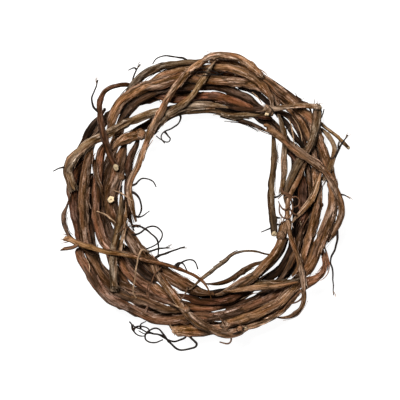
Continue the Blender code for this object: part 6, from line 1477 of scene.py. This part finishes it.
def floor_material(stage):
    """Pale matt floor that glows a little, so that the gaps in the wreath stay light."""
    mat, tree, shader = new_material("pale_floor")
    place = put(tree, "ShaderNodeTexCoord").outputs["Object"]
    mottle = put(tree, "ShaderNodeTexNoise", None, Vector=place, Scale=6.0, Detail=3.0, Roughness=0.5)
    shade = tuple(stage.floor_colour)
    colour = ramp(tree, mottle.outputs["Fac"], ((0.3, tinted(shade, 0.99)), (0.7, shade)))
    tree.links.new(colour, shader.inputs["Base Color"])
    shader.inputs["Emission Color"].default_value = (1.0, 1.0, 1.0, 1.0)
    shader.inputs["Emission Strength"].default_value = stage.floor_glow
    shader.inputs["Roughness"].default_value = 0.9
    shader.inputs["Specular IOR Level"].default_value = 0.1
    return mat


def lamp(name, place, target, size, power, colour):
    """A soft square lamp aimed at a point."""
    data = bpy.data.lights.new(name, "AREA")
    data.shape = "SQUARE"
    data.size = size
    data.energy = power
    data.color = colour
    ob = bpy.data.objects.new(name, data)
    ob.location = place
    way = np.array(target) - np.array(place)
    ob.rotation_euler = Vector(way).to_track_quat("-Z", "Y").to_euler()
    bpy.context.scene.collection.objects.link(ob)
    return ob



def length_setting(name, text, default, low=0.0):
    """A setting in metres; its default and its least value are given in mm."""
    return FloatProperty(name=name, description=text, default=default * MM, min=low * MM, unit="LENGTH")


def share_setting(name, text, default, low, high):
    """A setting that is a share of something else."""
    return FloatProperty(name=name, description=text, default=default, min=low, max=high, subtype="FACTOR")


class WreathBark(bpy.types.PropertyGroup):
    """Shape of the bark and of what grows on it."""
    ring_step: length_setting("Ring step", "Distance between two rings of a fine stem", 1.45, 0.5)
    side_width: length_setting("Side width", "Width of one face round a fine stem", 0.84, 0.4)
    groove_depth: length_setting("Groove depth", "Depth of the cracks that run along thick bark", 1.0)
    lumps: share_setting(
        "Lumps", "How far the stems swell and shrink, as a share of their radius", 0.13, 0.0, 0.4)
    wander: length_setting("Wander", "How far a stem strays from its smooth line", 0.65)
    knot_spacing: length_setting("Knot spacing", "Usual distance between two knots of a stem", 52, 10)
    knot_swell: share_setting(
        "Knot swelling", "Height of a knot as a share of the stem's radius", 0.15, 0.0, 0.4)
    strips: FloatProperty(
        name="Loose strips", description="Strips of loose bark on 100 mm of an ordinary stem",
        default=3.0, min=0.0)
    strip_width: length_setting("Strip width", "Width of a wide strip of loose bark", 2.0, 0.5)
    strip_lift: length_setting("Strip lift", "How far the ends of a strip stand off the stem", 2.4)
    hairs: FloatProperty(
        name="Stray fibres", description="Stray fibres on 100 mm of an ordinary stem",
        default=2.2, min=0.0)
    hair_length: length_setting("Fibre length", "Length of a long stray fibre", 13, 2)
    tendril_share: share_setting(
        "Tendril thickness", "Fine tendril's thickness as a share of the packed one's", 1.0, 0.3, 1.2)


def colour_setting(name, text, red, green, blue):
    """A colour setting; the default is given as it looks on screen, from 0 to 255."""
    value = tuple(((c / 255 + 0.055) / 1.055) ** 2.4 for c in (red, green, blue))
    return FloatVectorProperty(name=name, description=text, default=value, size=3,
                               min=0.0, max=1.0, subtype="COLOR")


class WreathColours(bpy.types.PropertyGroup):
    """Bark and wood colours."""
    dark: colour_setting("Dark bark", "Stems deep in the wreath", 66, 42, 25)
    plum: colour_setting("Plum bark", "Cool purplish brown bark", 104, 68, 46)
    rust: colour_setting("Rust bark", "Reddest bark", 114, 64, 34)
    red: colour_setting("Red-brown bark", "Warm red-brown bark", 112, 68, 40)
    brown: colour_setting("Brown bark", "Plain brown bark", 112, 75, 45)
    orange: colour_setting("Orange-brown bark", "Bright orange-brown bark", 140, 90, 52)
    tan: colour_setting("Tan bark", "Pale tan bark", 139, 98, 63)
    light: colour_setting("Pale bark", "Palest, almost bare stems", 151, 113, 77)
    gold: colour_setting("Golden bark", "Smooth yellow-brown twig", 152, 108, 60)
    olive: colour_setting("Olive bark", "Greenish grey-brown bark", 106, 80, 47)
    grey: colour_setting("Grey bark", "Weathered grey-brown bark", 117, 92, 64)
    rust_stain: colour_setting("Rust stain", "Red-brown patches where outer bark has gone", 226, 160, 110)
    cut_wood: colour_setting("Cut wood", "Bare wood of the cut ends", 206, 184, 148)
    far_half: colour_setting("Far half", "Tint of the golden twig's browner half", 196, 180, 172)
    tendril: colour_setting("Tendril", "Thin curly tendrils", 24, 16, 11)
    curl: colour_setting("Brown curl", "Curls with some bark left on them", 78, 52, 34)
    straw: colour_setting("Straw", "Pale bare straws and one curl", 132, 106, 82)


class WreathStage(bpy.types.PropertyGroup):
    """Floor, light and camera."""
    view_width: length_setting("View width", "Width of what the camera sees at the wreath", 400, 50)
    camera_height: length_setting(
        "Camera height", "How high the camera hangs over the wreath", 3200, 500)
    focus_height: length_setting(
        "Sharp height", "Height above the floor at which the view has that width", 26)
    floor_size: length_setting("Floor size", "Side of the square floor", 9000, 1000)
    floor_colour: colour_setting("Floor colour", "Pale matt floor", 120, 120, 120)
    floor_glow: FloatProperty(
        name="Floor glow", description="Light that the floor gives off itself", default=0.955, min=0.0)
    key_power: FloatProperty(
        name="Key light", description="Power of the large soft light", default=92.0, min=0.0, unit="POWER")
    fill_power: FloatProperty(
        name="Fill light", description="Power of the weaker light across from it",
        default=2.0, min=0.0, unit="POWER")
    sky: FloatProperty(
        name="Sky", description="Strength of the even light from all round", default=0.04, min=0.0)


class WREATH_OT_hoops(bpy.types.Operator):
    """Dresses the two dark hoops that the others are wound on"""
    bl_idname = "wreath.hoops"
    bl_label = "Hoops"

    def execute(self, context):
        return dress_all(("hoop_outer", "hoop_inner"), context)


class WREATH_OT_deep_canes(bpy.types.Operator):
    """Dresses the shaded canes that fill the middle of the ring"""
    bl_idname = "wreath.deep_canes"
    bl_label = "Deep canes"

    def execute(self, context):
        return dress_all((
            "shade_top", "shade_e", "shade_s", "core_n", "core_s", "core_se", "sw_core", "dark_s",
            "dark_w", "edge_nw", "edge_ne", "dark_ne"), context)


class WREATH_OT_thick_canes(bpy.types.Operator):
    """Dresses the thick canes with deeply grooved bark"""
    bl_idname = "wreath.thick_canes"
    bl_label = "Thick canes"

    def execute(self, context):
        return dress_all((
            "thick_nw", "thick_w", "thick_s", "orange_se", "outer_s", "outer_w", "long_ne", "long_s",
            "second_w", "plum_w", "mid_ne", "red_top", "red_e", "stump_nw"), context)


class WREATH_OT_slender_canes(bpy.types.Operator):
    """Dresses the slender canes that are woven over the thick ones"""
    bl_idname = "wreath.slender_canes"
    bl_label = "Slender canes"

    def execute(self, context):
        return dress_all((
            "arch_cane", "drop_cane", "crown_cane", "ridge_cane", "hook_nw", "knot_cane", "rim_top",
            "rim_ne", "red_ne", "light_ne", "corner_ne", "sweep_ne", "slant_e", "fibre_e", "frayed_se",
            "pair_se_a", "pair_se_b", "inner_se", "cross_s", "light_w", "rose_w", "slant_w",
            "slant_w_thin", "fibre_w", "hook_w"), context)


class WREATH_OT_twigs(bpy.types.Operator):
    """Dresses the thin twigs that spring out of the ring"""
    bl_idname = "wreath.twigs"
    bl_label = "Loose twigs"

    def execute(self, context):
        return dress_all((
            "hook_ne", "twig_ne", "inner_rod_long", "inner_rod_short", "swing_se", "inner_arch",
            "golden_twig"), context)


class WREATH_OT_stage(bpy.types.Operator):
    """Adds the pale floor, the soft lights and the camera that looks straight down"""
    bl_idname = "wreath.stage"
    bl_label = "Stage"

    def execute(self, context):
        stage = context.scene.wreath_stage
        size = stage.floor_size
        mesh = bpy.data.meshes.new("floor")
        corners = ((-1, -1), (1, -1), (1, 1), (-1, 1))
        mesh.from_pydata([(x * size / 2, y * size / 2, 0) for x, y in corners], [], [(0, 1, 2, 3)])
        mesh.materials.append(floor_material(stage))
        floor = bpy.data.objects.new("floor", mesh)
        context.scene.collection.objects.link(floor)
        lamp("key_light", (-0.5, 0.75, 1.9), (0, 0, 0), 0.7, stage.key_power, (1.0, 0.98, 0.95))
        lamp("fill_light", (1.2, -0.5, 1.3), (0, 0, 0), 1.4, stage.fill_power, (0.95, 0.97, 1.0))
        world = bpy.data.worlds.new("even_light")
        world.use_nodes = True
        world.node_tree.nodes["Background"].inputs["Color"].default_value = (1, 1, 1, 1)
        world.node_tree.nodes["Background"].inputs["Strength"].default_value = stage.sky
        context.scene.world = world
        context.scene.view_settings.view_transform = "Standard"
        camera = bpy.data.cameras.new("overhead_camera")
        camera.lens = camera.sensor_width * (stage.camera_height - stage.focus_height) / stage.view_width
        camera.clip_end = 30.0
        ob = bpy.data.objects.new("overhead_camera", camera)
        offset = settled_weave()[2]
        ob.location = ((PHOTO_MIDDLE[0] + offset[0]) * MM, (PHOTO_MIDDLE[1] + offset[1]) * MM,
                       stage.camera_height)
        context.scene.collection.objects.link(ob)
        context.scene.camera = ob
        return {"FINISHED"}


def dress_all(names, context):
    """Dresses each named stem and reports that the operator has finished."""
    for name in names:
        dress(name, context.scene)
    return {"FINISHED"}


OPERATORS = (WREATH_OT_hoops, WREATH_OT_deep_canes, WREATH_OT_thick_canes, WREATH_OT_slender_canes,
             WREATH_OT_twigs, WREATH_OT_stage)
SETTINGS = (("wreath_bark", WreathBark), ("wreath_colours", WreathColours), ("wreath_stage", WreathStage))


class WREATH_PT_panel(bpy.types.Panel):
    """Buttons and settings of the wreath"""
    bl_idname = "WREATH_PT_panel"
    bl_label = "Wreath"
    bl_space_type = "VIEW_3D"
    bl_region_type = "UI"
    bl_category = "Wreath"

    def draw(self, context):
        for operator in OPERATORS:
            self.layout.operator(operator.bl_idname)
        for key, group in SETTINGS:
            box = self.layout.box()
            for prop in group.__annotations__:
                box.prop(getattr(context.scene, key), prop)


def register():
    """Makes the settings, the operators and the panel known to Blender."""
    for key, group in SETTINGS:
        bpy.utils.register_class(group)
        setattr(bpy.types.Scene, key, PointerProperty(type=group))
    for cls in OPERATORS + (WREATH_PT_panel,):
        bpy.utils.register_class(cls)


def unregister():
    """Takes them away again."""
    for cls in (WREATH_PT_panel,) + OPERATORS[::-1]:
        bpy.utils.unregister_class(cls)
    for key, group in SETTINGS[::-1]:
        delattr(bpy.types.Scene, key)
        bpy.utils.unregister_class(group)


def main():
    """Builds the whole scene."""
    register()
    bpy.ops.wreath.hoops()
    bpy.ops.wreath.deep_canes()
    bpy.ops.wreath.thick_canes()
    bpy.ops.wreath.slender_canes()
    bpy.ops.wreath.twigs()
    bpy.ops.wreath.stage()


if __name__ == "__main__":
    main()
